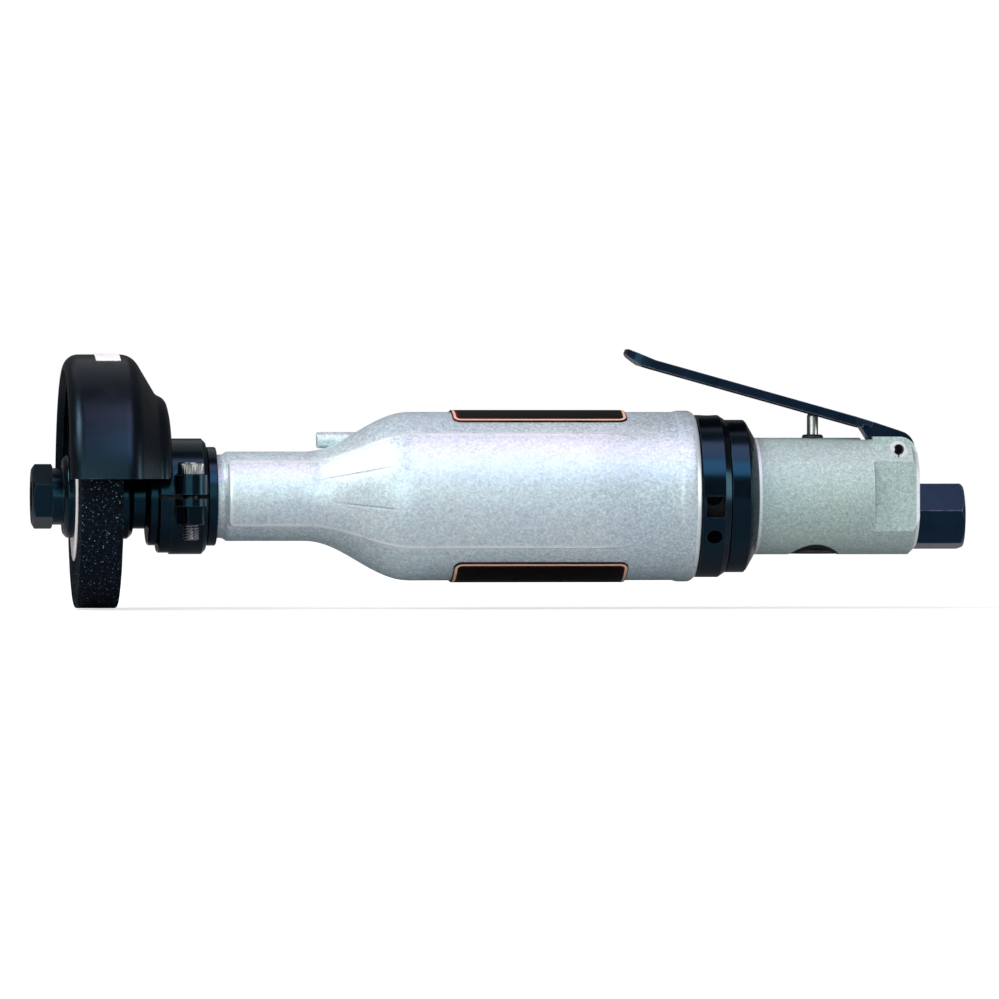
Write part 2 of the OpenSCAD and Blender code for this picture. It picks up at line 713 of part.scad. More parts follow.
// Half guard: rolled lip, band, cone and stepped back plate of one wall
module guard_pan() {
    back_x = guard_plate_x1 - 1;
    step_x = guard_plate_x1 - guard_step_h;
    inner_r = guard_r - guard_wall;
    lip_x = guard_mouth_x + guard_lip_r;
    plate_x = guard_plate_x1 - guard_plate_t;
    outer = concat(
        arc(guard_mouth_r, lip_x, guard_lip_r, -90, 0, 5),
        [[guard_r, guard_cone_x0 - guard_bend_r * 0.3], [guard_r - 0.5, guard_cone_x0 - guard_bend_r * 0.05],
         [guard_r - 1.5, guard_cone_x0 + guard_bend_r * 0.15], [guard_cone_r, guard_cone_x1],
         [guard_step_r, guard_cone_x1 + 1.8], [guard_step_r - 2.7, back_x + 0.1],
         [collar_r + 0.2, guard_plate_x1], [collar_spigot_r, guard_plate_x1]]);
    inner = concat(
        [[collar_spigot_r, plate_x], [guard_step_r - 4.5, plate_x],
         [guard_step_r - guard_wall + 0.6, step_x - guard_wall + 0.6],
         [inner_r - 1.6, guard_cone_x0 - 0.6], [inner_r, guard_cone_x0 - guard_bend_r * 0.5]],
        arc(guard_mouth_r, lip_x, guard_lip_r - guard_wall, 0, -90, 3));
    turned(concat(outer, inner));
}

module wheel_guard() {
    spare = 5;
    color("black") in_frame() intersection() {
        guard_pan();
        translate([guard_mouth_x - spare, -guard_r - spare, guard_cut_z])
            cube([guard_depth + 2 * spare, 2 * (guard_r + spare), guard_r + spare]);
    }
}

module guard_collar() {
    x1 = collar_x0 + collar_len;
    color("black") in_frame() difference() {
        union() {
            turned([[0, collar_x0], [collar_spigot_r - 0.4, collar_x0], [collar_spigot_r, collar_x0 + 0.4],
                [collar_spigot_r, guard_plate_x1], [collar_r, guard_plate_x1],
                [collar_r, x1 - 1.2], [collar_r - 1.2, x1], [0, x1]]);
            translate([clamp_x, -clamp_screw_y, -clamp_ear_down])
                cylinder(r = clamp_ear_r, h = clamp_ear_up + clamp_ear_down);
            translate([clamp_x - clamp_ear_r, -clamp_screw_y, -clamp_ear_down])
                cube([2 * clamp_ear_r, clamp_screw_y - nose_r - 1, clamp_ear_up + clamp_ear_down]);
        }
        bar(nose_r + run_gap, collar_x0 - eps, x1 + eps);
        translate([collar_x0 - eps, -clamp_screw_y - clamp_ear_r - 1, -collar_slit / 2])
            cube([collar_len + 2 * eps, clamp_screw_y + clamp_ear_r + 1 - nose_r / 2, collar_slit]);
        // Screw hole and the spot faces under its head and nut
        translate([clamp_x, -clamp_screw_y, -clamp_ear_down - eps])
            cylinder(r = clamp_screw_r + 0.1, h = clamp_ear_up + clamp_ear_down + 2 * eps);
        translate([clamp_x, -clamp_screw_y, clamp_ear_up])
            cylinder(r = clamp_head_r + spot_gap, h = collar_r);
        translate([clamp_x, -clamp_screw_y, -clamp_ear_down - collar_r])
            cylinder(r = clamp_nut_corner_r + spot_gap, h = collar_r);
    }
}

module clamp_screw() {
    tail = clamp_ear_down + clamp_nut_h + clamp_screw_tail;
    color("silver") in_frame() translate([clamp_x, -clamp_screw_y, 0]) difference() {
        rotate_extrude() polygon([[0, -tail], [clamp_screw_r - 0.5, -tail], [clamp_screw_r, -tail + 0.5],
            [clamp_screw_r, clamp_ear_up], [clamp_head_r, clamp_ear_up],
            [clamp_head_r, clamp_ear_up + clamp_head_h - 0.5],
            [clamp_head_r - 0.5, clamp_ear_up + clamp_head_h], [0, clamp_ear_up + clamp_head_h]]);
        translate([0, 0, clamp_ear_up + clamp_head_h - 2.6])
            cylinder(r = clamp_screw_r - 0.2, h = 4, $fn = 6);
    }
}

module clamp_nut() {
    corner_r = clamp_nut_corner_r;
    color("black") in_frame() translate([clamp_x, -clamp_screw_y, -clamp_ear_down - clamp_nut_h])
        difference() {
            intersection() {
                rotate([0, 0, 15]) cylinder(r = corner_r, h = clamp_nut_h, $fn = 6);
                rotate_extrude() polygon([[0, 0], [corner_r - 0.8, 0], [corner_r + 0.1, 0.6],
                    [corner_r + 0.1, clamp_nut_h], [0, clamp_nut_h]]);
            }
            translate([0, 0, -eps]) cylinder(r = clamp_screw_r, h = clamp_nut_h + 2 * eps);
        }
}

module guard_sticker() {
    color("white") in_frame() intersection() {
        tube(guard_r + 0.2, guard_r, sticker_x - sticker_w / 2, sticker_x + sticker_w / 2);
        sector(guard_r + 1, sticker_x - sticker_w, sticker_x + sticker_w, sticker_angle / 2 - 2,
            sticker_angle / 2);
    }
}

module front_end_plate() {
    color("gray") in_frame() difference() {
        bar(liner_r, front_plate_x0, liner_x0);
        bar(bearing_r, front_plate_x0 - eps, liner_x0 - plate_land);
        bar(rotor_bearing_bore_r + 2, front_plate_x0 - eps, liner_x0 + eps);
        translate([0, dowel_y, 0]) bar(dowel_r, liner_x0 - dowel_depth - 2 * end_gap, liner_x0 + eps);
    }
}

module cylinder_liner() {
    port_w = 2.4;
    port_half = 7;
    color("lightgray") in_frame() difference() {
        bar(liner_r, liner_x0, rear_plate_x0);
        translate([0, -liner_offset, 0]) bar(liner_bore_r, liner_x0 - eps, rear_plate_x0 + eps);
        translate([0, dowel_y, 0]) bar(dowel_r, liner_x0 - eps, rear_plate_x0 + eps);
        for (i = [1:4])
            translate([liner_x0 + liner_len * i / 5 - port_w / 2, -liner_r - 1, -port_half])
                cube([port_w, liner_r - port_half, 2 * port_half]);
    }
}

module rear_end_plate() {
    color("gray") in_frame() difference() {
        bar(liner_r, rear_plate_x0, rear_plate_x0 + rear_plate_t);
        bar(bearing_r, rotor_rear_bearing_x, eps);
        bar(rotor_bearing_bore_r + 1, rear_plate_x0 - eps, eps);
        translate([0, dowel_y, 0])
            bar(dowel_r, rear_plate_x0 - eps, rear_plate_x0 + dowel_depth + 2 * end_gap);
        for (a = [60, 120, 240, 300])
            rotate([a, 0, 0]) translate([0, 0, air_port_reach]) bar(air_port_r, rear_plate_x0 - eps, eps);
    }
}

module dowel() {
    color("lightgray") in_frame() translate([0, dowel_y, 0])
        bar(dowel_r, liner_x0 - dowel_depth, rear_plate_x0 + dowel_depth);
}

module rotor() {
    slot_h = vane_h + 0.3;
    color("gray") in_frame() {
        difference() {
            bar(rotor_r, rotor_x0, rotor_x1);
            for (i = [0:vane_count - 1])
                rotate([360 * i / vane_count, 0, 0])
                    translate([rotor_x0 - eps, -vane_t / 2 - run_gap, rotor_r - slot_h])
                        cube([rotor_x1 - rotor_x0 + 2 * eps, vane_t + 2 * run_gap, slot_h + 1]);
        }
        bar(rotor_bearing_bore_r, rotor_tail_x1, rotor_x0);
        bar(rotor_bearing_bore_r, rotor_x1, rotor_rear_bearing_x + rotor_bearing_w);
        hex_bar(drive_tail_r, rotor_tail_x0, rotor_tail_x1);
    }
}

module vane(i) {
    if (i <= vane_count)
        color("peru") in_frame() rotate([360 * (i - 1) / vane_count, 0, 0])
            translate([rotor_x0 + end_gap, -vane_t / 2, rotor_r - vane_h - 0.1])
                cube([rotor_x1 - rotor_x0 - 2 * end_gap, vane_t, vane_h]);
}

module rotor_front_bearing_outer() {
    color("lightgray") in_frame() bearing_outer(rotor_bearing_bore_r, rotor_front_bearing_x, rotor_bearing_w);
}

module rotor_front_bearing_inner() {
    color("lightgray") in_frame() bearing_inner(rotor_bearing_bore_r, rotor_front_bearing_x, rotor_bearing_w);
}

module rotor_front_bearing_balls() {
    color("gold") in_frame() bearing_balls(rotor_bearing_bore_r, rotor_front_bearing_x, rotor_bearing_w);
}

module rotor_rear_bearing_outer() {
    color("lightgray") in_frame() bearing_outer(rotor_bearing_bore_r, rotor_rear_bearing_x, rotor_bearing_w);
}

module rotor_rear_bearing_inner() {
    color("lightgray") in_frame() bearing_inner(rotor_bearing_bore_r, rotor_rear_bearing_x, rotor_bearing_w);
}

module rotor_rear_bearing_balls() {
    color("gold") in_frame() bearing_balls(rotor_bearing_bore_r, rotor_rear_bearing_x, rotor_bearing_w);
}

// Angle of an opening of the exhaust ring below the near side
window_below = 7.5;

module exhaust_ring() {
    x1 = exhaust_ring_x0 + exhaust_ring_w;
    window_x = exhaust_ring_x0 + 1.2;
    step = 360 / exhaust_window_count;
    color("black") in_frame() difference() {
        turned([[0, exhaust_ring_x0], [exhaust_ring_r - 0.4, exhaust_ring_x0],
            [exhaust_ring_r, exhaust_ring_x0 + 0.4], [exhaust_ring_r, x1 - 1.8],
            [exhaust_ring_r - 1.2, x1], [0, x1]]);
        bar(journal_r + run_gap, exhaust_ring_x0 - eps, x1 + eps);
        bar(journal_r + 2.4, window_x - 0.3, window_x + exhaust_window_len + 0.3);
        for (i = [0:exhaust_window_count - 1]) {
            rotate([90 + window_below + step * i, 0, 0])
                translate([window_x, -exhaust_window_w / 2, journal_r - 4])
                    cube([exhaust_window_len, exhaust_window_w, 12]);
            rotate([90 + window_below + 22.5 + step * i, 0, 0])
                translate([window_x + exhaust_window_len / 2, 0, journal_r - 4])
                    cylinder(r = spanner_hole_r, h = 12);
        }
    }
}

module rear_ring() {
    color("black") in_frame() difference() {
        turned([[0, rear_ring_x0], [rear_ring_r - 0.4, rear_ring_x0], [rear_ring_r, rear_ring_x0 + 0.4],
            [rear_ring_r, rear_ring_x0 + rear_ring_w - 0.6], [rear_ring_r - 0.6, rear_ring_x0 + rear_ring_w],
            [body_r + 0.25, body_x0], [0, body_x0]]);
        bar(body_r, rear_ring_x0 - eps, body_x0 + eps);
    }
}

// Rounds the top of the rear end: a block less a bar lying across the body
module ear_corner() {
    top = body_r + ear_rise;
    translate([body_x1 - ear_corner_r, 0, top - ear_corner_r]) difference() {
        translate([0, -20, 0]) cube([ear_corner_r + 5, 40, ear_corner_r + 5]);
        rotate([90, 0, 0]) cylinder(r = ear_corner_r, h = 50, center = true);
    }
}

// Stepped bore of the valve: recess of the plug, chamber, room over the seat, stem and bush
module valve_bore() {
    seat_z1 = seat_z0 + seat_h;
    room_z1 = passage_z + passage_r + 0.4;
    translate([valve_x, 0, 0]) rotate_extrude() polygon([[0, -30], [plug_recess_r, -30],
        [plug_recess_r, plug_z0], [chamber_r, plug_z0], [chamber_r, seat_z1], [seat_bore_r + 1, seat_z1],
        [seat_bore_r + 1, room_z1], [stem_r + 0.3, room_z1], [stem_r + 0.3, bush_z0],
        [bush_r, bush_z0], [bush_r, 30], [0, 30]]);
}

module throttle_body() {
    color("darkseagreen") in_frame() difference() {
        union() {
            turned([[0, -spigot_len], [liner_r, -spigot_len], [liner_r, 0], [journal_r, 0],
                [journal_r, rear_ring_x0 - end_gap / 2], [body_r, rear_ring_x0 - end_gap / 2],
                [body_r, body_x1 - 2], [body_r - 2, body_x1], [0, body_x1]]);
            translate([ear_x0, -ear_half, 0]) cube([body_x1 - ear_x0, 2 * ear_half, body_r + ear_rise]);
        }
        ear_corner();
        // Wrench flats
        for (side = [-1, 1])
            translate([body_x1 - flat_len, side * (flat_half + 5) - 5, -15]) cube([flat_len + 1, 10, 30]);
        // Slot and pin hole of the lever
        translate([slot_x0, -slot_half, slot_floor]) cube([40, 2 * slot_half, 40]);
        translate([pivot_x, 0, pivot_z]) rotate([90, 0, 0]) cylinder(r = pin_r, h = 50, center = true);
        // Exhaust chamber, round the air passage, and its ports
        difference() {
            bar(journal_r - 3, -spigot_len - eps, rear_ring_x0 - 2);
            bar(exhaust_core_r, -spigot_len - 1, rear_ring_x0);
        }
        for (i = [0:5])
            rotate([60 * i + 30, 0, 0])
                translate([exhaust_ring_x0 + 1.2 + exhaust_window_len / 2, 0, 12])
                    cylinder(r = 2.7, h = 12);
        // Air passage from the valve to the motor
        translate([0, 0, passage_z]) bar(passage_r, -spigot_len - eps, valve_x);
        valve_bore();
        // Inlet
        translate([0, 0, -inlet_drop]) {
            bar(inlet_spigot_r, inlet_spigot_x0, body_x1 + 1);
            bar(inlet_bore_r, valve_x, body_x1);
        }
    }
}

module stem_bush() {
    top = body_r + bush_rise;
    color("black") in_frame() translate([valve_x, 0, 0]) rotate_extrude()
        polygon([[stem_r + run_gap, bush_z0], [bush_r, bush_z0], [bush_r, top - 0.5],
            [bush_r - 0.5, top], [stem_r + run_gap, top]]);
}

module valve_stem() {
    color("lightgray") in_frame() translate([valve_x, 0, 0]) {
        translate([0, 0, spring_z1]) cylinder(r = stem_r, h = stem_tip_z - spring_z1);
        translate([0, 0, stem_tip_z]) sphere(r = stem_r);
        translate([0, 0, spring_z1]) cylinder(r = stem_collar_r, h = stem_collar_t);
    }
}

module valve_disc() {
    color("black") in_frame() translate([valve_x, 0, disc_z0]) difference() {
        cylinder(r = valve_disc_r, h = disc_t);
        translate([0, 0, -eps]) cylinder(r = stem_r, h = disc_t + 2 * eps);
    }
}

module valve_seat() {
    color("gold") in_frame() translate([valve_x, 0, seat_z0]) difference() {
        cylinder(r = chamber_r, h = seat_h);
        translate([0, 0, -eps]) cylinder(r = seat_bore_r, h = seat_h + 2 * eps);
    }
}

// Coil spring: rings of points swept along a helix, ends resting on their seats
module valve_spring() {
    steps = 10 * spring_turns;
    sides = 6;
    rise = spring_z1 - spring_z0 - 2 * spring_wire_r;
    points = [for (i = [0:steps], j = [0:sides - 1])
        let (a = 360 * spring_turns * i / steps, b = 360 * j / sides, r = spring_r + spring_wire_r * cos(b))
        [r * cos(a), r * sin(a), spring_wire_r + rise * i / steps + spring_wire_r * sin(b)]];
    walls = [for (i = [0:steps - 1], j = [0:sides - 1], half = [0, 1])
        let (k = (j + 1) % sides, a = i * sides, b = a + sides)
        half == 0 ? [a + j, b + j, b + k] : [a + j, b + k, a + k]];
    first = [for (j = [1:sides - 2]) [0, j, j + 1]];
    last = [for (j = [1:sides - 2]) [steps * sides, steps * sides + j + 1, steps * sides + j]];
    color("lightgray") in_frame() translate([valve_x, 0, spring_z0])
        polyhedron(points, concat(walls, first, last));
}

module valve_plug() {
    groove_z = (plug_z0 + plug_z1) / 2;
    color("black") in_frame() translate([valve_x, 0, 0]) difference() {
        translate([0, 0, plug_z0]) cylinder(r = chamber_r - 0.02, h = plug_h);
        translate([0, 0, spring_z0]) cylinder(r = spring_r + spring_wire_r + 0.4, h = spring_pocket + eps);
        translate([0, 0, plug_z0 - 1]) cylinder(r = 3.4, h = 3.2, $fn = 6);
        translate([0, 0, groove_z - o_ring_r - 0.1]) difference() {
            cylinder(r = chamber_r + 1, h = 2 * o_ring_r + 0.2);
            translate([0, 0, -1]) cylinder(r = chamber_r - 2 * o_ring_r, h = 4);
        }
    }
}

module plug_seal() {
    color("black") in_frame() translate([valve_x, 0, (plug_z0 + plug_z1) / 2]) rotate_extrude()
        translate([chamber_r - o_ring_r - 0.01, 0]) circle(r = o_ring_r - 0.01);
}

// Lays a side view of the lever upright across the axis, its pivot at the origin
module lever_side(w) {
    translate([pivot_x, 0, pivot_z]) rotate([0, lever_slope, 0]) rotate([0, 0, 180]) rotate([90, 0, 0])
        linear_extrude(w, center = true) children();
}

module lever_blade_outline(base) {
    tip = lever_len - 5;
    polygon([[9, base], [tip - 4, base], [tip, base + 0.1], [lever_len - 1, base + 1.5],
        [lever_len, base + 2.3], [lever_len - 0.4, lever_top + 1.1], [lever_len - 2.4, lever_top + 0.8],
        [tip - 4, lever_top], [9, lever_top]]);
}

module lever_plan() {
    translate([pivot_x, 0, pivot_z]) rotate([0, lever_slope, 0]) rotate([0, 0, 180])
        linear_extrude(40, center = true) union() {
            translate([-8, -lug_half]) square([24, 2 * lug_half]);
            polygon(concat([[8.4, -lug_half], [14.5, -lever_half]],
                arc(lever_len - 5, -lever_half + 5, 5, -90, 0, 6),
                arc(lever_len - 5, lever_half - 5, 5, 0, 90, 6),
                [[14.5, lever_half], [8.4, lug_half]]));
        }
}

module throttle_lever() {
    color("midnightblue") in_frame() difference() {
        union() {
            intersection() {
                union() {
                    lever_side(2 * lever_half) difference() {
                        lever_blade_outline(lever_base_v);
                        translate([0, lever_base_v - 5])
                            square([lever_len - 6, lever_web_v - lever_base_v + 5]);
                    }
                    for (side = [-1, 1])
                        translate([0, side * (lever_half - lever_sheet / 2), 0])
                            lever_side(lever_sheet) lever_blade_outline(lever_base_v);
                }
                lever_plan();
            }
            lever_side(2 * lug_half) {
                circle(r = lug_r);
                polygon([[0, lug_r], [8.4, lever_top], [14, lever_top], [11.9, lever_base_v],
                    [9.2, 1.1], [4.6, -lug_r * 0.6], [0, 0]]);
            }
        }
        translate([pivot_x, 0, pivot_z]) rotate([90, 0, 0])
            cylinder(r = pin_r + run_gap, h = 50, center = true);
    }
}

module lever_pin() {
    color("silver") in_frame() translate([pivot_x, 0, pivot_z]) rotate([90, 0, 0]) difference() {
        cylinder(r = pin_r, h = pin_len, center = true);
        cylinder(r = pin_core_r, h = pin_len + 2, center = true);
        translate([0, -2, 0]) cube([0.5, 4, pin_len + 2], center = true);
    }
}

module inlet_bushing() {
    corner_r = inlet_af / 2 / cos(30);
    color("midnightblue") in_frame() translate([0, 0, -inlet_drop]) difference() {
        union() {
            intersection() {
                hex_bar(corner_r, body_x1, inlet_x1, 30 - inlet_turn);
                turned([[0, body_x1], [corner_r - 0.5, body_x1], [corner_r + 0.1, body_x1 + 0.4],
                    [corner_r + 0.1, inlet_x1 - 1.3], [corner_r - 1.3, inlet_x1], [0, inlet_x1]]);
            }
            bar(inlet_spigot_r, inlet_spigot_x0, body_x1);
        }
        bar(inlet_thread_r, inlet_x1 - inlet_thread_len, inlet_x1 + eps);
        bar(screen_r, inlet_x1 - inlet_thread_len - 2, inlet_x1);
        bar(inlet_bore_r - 0.5, inlet_spigot_x0 - eps, inlet_x1);
    }
}

module inlet_screen() {
    x0 = inlet_x1 - inlet_thread_len - 2;
    color("gold") in_frame() translate([0, 0, -inlet_drop]) difference() {
        bar(screen_r, x0, x0 + screen_t);
        for (ring = [0:2], i = [0:max(0, 6 * ring - 1)])
            rotate([ring == 0 ? 0 : 60 * i / ring, 0, 0]) translate([0, 0, 1.4 * ring])
                bar(0.45, x0 - eps, x0 + screen_t + eps);
    }
}

housing();
stop_ring();
top_nameplate();
bottom_nameplate();
front_cap();
shaft_seal();
front_bearing_outer();
front_bearing_inner();
front_bearing_balls();
rear_bearing_outer();
rear_bearing_inner();
rear_bearing_balls();
spindle();
drive_coupling();
inner_flange();
grinding_wheel();
wheel_label();
outer_flange();
wheel_nut();
wheel_guard();
guard_collar();
clamp_screw();
clamp_nut();
guard_sticker();
front_end_plate();
cylinder_liner();
rear_end_plate();
dowel();
rotor();
vane(1);  // vane_1
vane(2);  // vane_2
vane(3);  // vane_3
vane(4);  // vane_4
vane(5);  // vane_5
rotor_front_bearing_outer();
rotor_front_bearing_inner();
rotor_front_bearing_balls();
rotor_rear_bearing_outer();
rotor_rear_bearing_inner();
rotor_rear_bearing_balls();
exhaust_ring();
rear_ring();
throttle_body();
stem_bush();
valve_stem();
valve_disc();
valve_seat();
valve_spring();
valve_plug();
plug_seal();
throttle_lever();
lever_pin();
inlet_bushing();
inlet_screen();
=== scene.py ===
"""Looks of a pneumatic straight grinder with a long nose, a half guard and a lever throttle.

Shapes are worked out in millimetres in tool coordinates: x runs along the spindle axis and is 0
at the rear face of the case, z is up, and the spindle axis is y = z = 0. to_frame() takes them to
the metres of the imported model, whose origin is the middle of the air inlet's mouth.
"""
import json
import math

import bmesh
import bpy
import numpy as np
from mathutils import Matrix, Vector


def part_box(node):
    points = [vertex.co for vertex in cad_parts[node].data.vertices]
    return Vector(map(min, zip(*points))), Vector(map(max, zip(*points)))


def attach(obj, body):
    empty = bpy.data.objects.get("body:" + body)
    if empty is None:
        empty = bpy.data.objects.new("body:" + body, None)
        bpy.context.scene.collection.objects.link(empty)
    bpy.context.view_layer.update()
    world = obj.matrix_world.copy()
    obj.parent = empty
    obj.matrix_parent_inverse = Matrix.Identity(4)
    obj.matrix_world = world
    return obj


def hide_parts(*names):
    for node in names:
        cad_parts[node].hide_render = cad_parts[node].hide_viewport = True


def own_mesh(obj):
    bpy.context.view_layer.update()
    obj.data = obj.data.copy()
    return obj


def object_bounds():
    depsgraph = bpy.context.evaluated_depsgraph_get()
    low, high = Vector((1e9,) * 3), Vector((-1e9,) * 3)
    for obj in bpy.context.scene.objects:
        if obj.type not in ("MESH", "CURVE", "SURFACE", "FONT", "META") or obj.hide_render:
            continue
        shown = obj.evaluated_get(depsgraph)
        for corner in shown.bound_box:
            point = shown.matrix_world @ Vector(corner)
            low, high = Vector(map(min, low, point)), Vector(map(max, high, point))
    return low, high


bl_info = {
    "name": "Straight grinder",
    "version": (1, 0, 0),
    "blender": (4, 5, 0),
    "location": "3D View > Sidebar > Grinder",
    "description": "Builds the looks of an air-driven straight grinder on its packed solids",
    "category": "Object",
}

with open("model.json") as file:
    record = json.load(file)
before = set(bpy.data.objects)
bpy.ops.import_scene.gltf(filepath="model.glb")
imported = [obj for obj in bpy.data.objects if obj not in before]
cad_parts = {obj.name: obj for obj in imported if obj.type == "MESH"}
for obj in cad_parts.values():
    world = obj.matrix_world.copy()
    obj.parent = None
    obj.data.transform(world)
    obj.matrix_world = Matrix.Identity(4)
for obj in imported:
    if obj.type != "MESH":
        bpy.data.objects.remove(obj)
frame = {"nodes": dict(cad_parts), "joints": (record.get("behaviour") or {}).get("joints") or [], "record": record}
CAD_BOX = [list(corner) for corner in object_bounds()]

MM = 0.001
REAR_FACE_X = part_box("housing")[1][0]
AXIS_Z = (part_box("grinding_wheel")[0][2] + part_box("grinding_wheel")[1][2]) / 2
TOOL_ORIGIN = np.array([REAR_FACE_X, 0.0, AXIS_Z])

# The case is turned a little about the spindle, and the air inlet lies under the spindle's axis
CASE_ROLL = math.radians(5.0)
INLET_DROP = 6.1


def to_frame(points):
    """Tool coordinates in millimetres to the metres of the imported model."""
    return np.asarray(points, float) * MM + TOOL_ORIGIN


def tool_box(node):
    """Low and high corner of a CAD node, in tool millimetres."""
    return (np.array(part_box(node)) - TOOL_ORIGIN) / MM


def ends(node):
    """Both ends of a CAD node along the spindle axis, in tool millimetres."""
    return tool_box(node)[:, 0]


# Surfaces as numpy grids


def smooth(value):
    """Ramp from 0 to 1 that starts and ends level: 3t^2 - 2t^3 of t clipped to 0..1."""
    t = np.clip(value, 0.0, 1.0)
    return t * t * (3.0 - 2.0 * t)


def rounded(outline, steps=4):
    """Outline (x, r, fillet) with each corner replaced by a parabola from one side to the other.

    The parabola starts and ends the fillet's length away from the corner, at most 0.45 of a side.
    """
    corners = np.array([p[:2] for p in outline], float)
    reach = np.array([p[2] for p in outline], float)
    before = np.roll(corners, 1, axis=0) - corners
    after = np.roll(corners, -1, axis=0) - corners
    long_before = np.linalg.norm(before, axis=1)
    long_after = np.linalg.norm(after, axis=1)
    reach = np.minimum(reach, 0.45 * np.minimum(long_before, long_after))
    start = corners + before * (reach / long_before)[:, None]
    end = corners + after * (reach / long_after)[:, None]
    t = np.linspace(0.0, 1.0, steps)[None, :, None]
    curve = (1 - t) ** 2 * start[:, None] + 2 * t * (1 - t) * corners[:, None] + t ** 2 * end[:, None]
    points = curve.reshape(-1, 2)
    gap = np.linalg.norm(points - np.roll(points, 1, axis=0), axis=1)
    return points[gap > 1e-6]


def around(x, r, angles):
    """Points of a turned shape: (x, -r cos a, r sin a), with a from 0 on the near side upwards."""
    x = np.broadcast_to(x, np.broadcast(x, r, angles).shape)
    return np.stack([x, -r * np.cos(angles), r * np.sin(angles)], axis=-1)


def upright(middle, r, up, turn):
    """Points of a shape turned about an upright line through the middle (x, y)."""
    height = up * np.ones_like(turn * r)
    return np.stack([middle[0] + r * np.cos(turn), middle[1] + r * np.sin(turn), height], axis=-1)


def turn_angles(count):
    """Angles of a full turn, without the last, which would repeat the first."""
    return np.arange(count) * (2 * np.pi / count)


def from_flat(turn):
    """Turn from the middle of the nearest flat of a hexagon."""
    return np.mod(turn, np.pi / 3) - np.pi / 6


def quads(rows, columns, closed_rows, closed_columns, base=0):
    """Corner numbers of the faces of a grid whose point (i, j) is number i * columns + j."""
    i = np.arange(rows if closed_rows else rows - 1)[:, None]
    j = np.arange(columns if closed_columns else columns - 1)[None, :]
    i1 = (i + 1) % rows
    j1 = (j + 1) % columns
    corners = [i * columns + j, i * columns + j1, i1 * columns + j1, i1 * columns + j]
    grid = [np.broadcast_to(c, (i.size, j.size)) for c in corners]
    return np.stack(grid, axis=-1).reshape(-1, 4) + base


def shade(data, sharp):
    """Smooth shading that breaks at edges steeper than an angle in degrees."""
    data.polygons.foreach_set("use_smooth", np.ones(len(data.polygons), bool))
    data.set_sharp_from_angle(angle=math.radians(sharp))


def mark(data, name, values):
    """Gives every point of a mesh a number of its own, for its finish to read."""
    data.attributes.new(name, "FLOAT", "POINT").data.foreach_set("value", values.ravel())


def mesh_from(name, points, faces, sharp=35.0):
    """Mesh of points in tool millimetres and four-cornered faces, with its normals made outward."""
    data = bpy.data.meshes.new(name)
    place = to_frame(points).reshape(-1, 3)
    data.vertices.add(len(place))
    data.vertices.foreach_set("co", place.ravel())
    data.loops.add(faces.size)
    data.loops.foreach_set("vertex_index", faces.ravel())
    data.polygons.add(len(faces))
    data.polygons.foreach_set("loop_start", np.arange(len(faces)) * faces.shape[1])
    data.polygons.foreach_set("loop_total", np.full(len(faces), faces.shape[1]))
    data.update(calc_edges=True)
    data.validate()
    tidy = bmesh.new()
    tidy.from_mesh(data)
    bmesh.ops.recalc_face_normals(tidy, faces=tidy.faces)
    tidy.to_mesh(data)
    tidy.free()
    shade(data, sharp)
    return data


def linked(name, data):
    """New object in the scene, at its origin."""
    obj = bpy.data.objects.new(name, data)
    bpy.context.scene.collection.objects.link(obj)
    return obj


def piece(name, data, body, slot, nodes=()):
    """Puts a mesh into the scene with its slot's finish, on its CAD body, in place of CAD nodes."""
    obj = linked(name, data)
    data.materials.clear()
    data.materials.append(finish(slot))
    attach(obj, body)
    if nodes:
        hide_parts(*nodes)
    return obj


def bevelled(obj, name, width, angle, segments=2):
    """Rounds off edges steeper than an angle in degrees, over a width in millimetres."""
    bevel = obj.modifiers.new(name, "BEVEL")
    bevel.width = width * MM
    bevel.segments = segments
    bevel.limit_method = "ANGLE"
    bevel.angle_limit = math.radians(angle)
    return bevel


MERGE_DISTANCE = 2e-6
FLAT_ANGLE = 0.4
EDGE_ANGLE = 28.0


def softened(node, body, slot, width, segments=2):
    """Merged copy of a CAD node that stands for it, its edges rounded off by a bevel."""
    data = frame["nodes"][node].data.copy()
    tidy = bmesh.new()
    tidy.from_mesh(data)
    bmesh.ops.remove_doubles(tidy, verts=tidy.verts, dist=MERGE_DISTANCE)
    bmesh.ops.dissolve_limit(
        tidy, angle_limit=math.radians(FLAT_ANGLE), verts=tidy.verts, edges=tidy.edges,
        delimit={"NORMAL"})
    tidy.to_mesh(data)
    tidy.free()
    if "custom_normal" in data.attributes:
        data.attributes.remove(data.attributes["custom_normal"])
    shade(data, EDGE_ANGLE)
    obj = piece(node + "_soft", data, body, slot, (node,))
    bevelled(obj, "rounded edges", width, EDGE_ANGLE, segments).harden_normals = True


def dress(slot, *nodes):
    """Gives CAD nodes that stay the finish of a slot, in their material slots."""
    for name in nodes:
        for place in frame["nodes"][name].material_slots:
            place.link = "OBJECT"
            place.material = finish(slot)


# Finishes: node graphs written as expressions


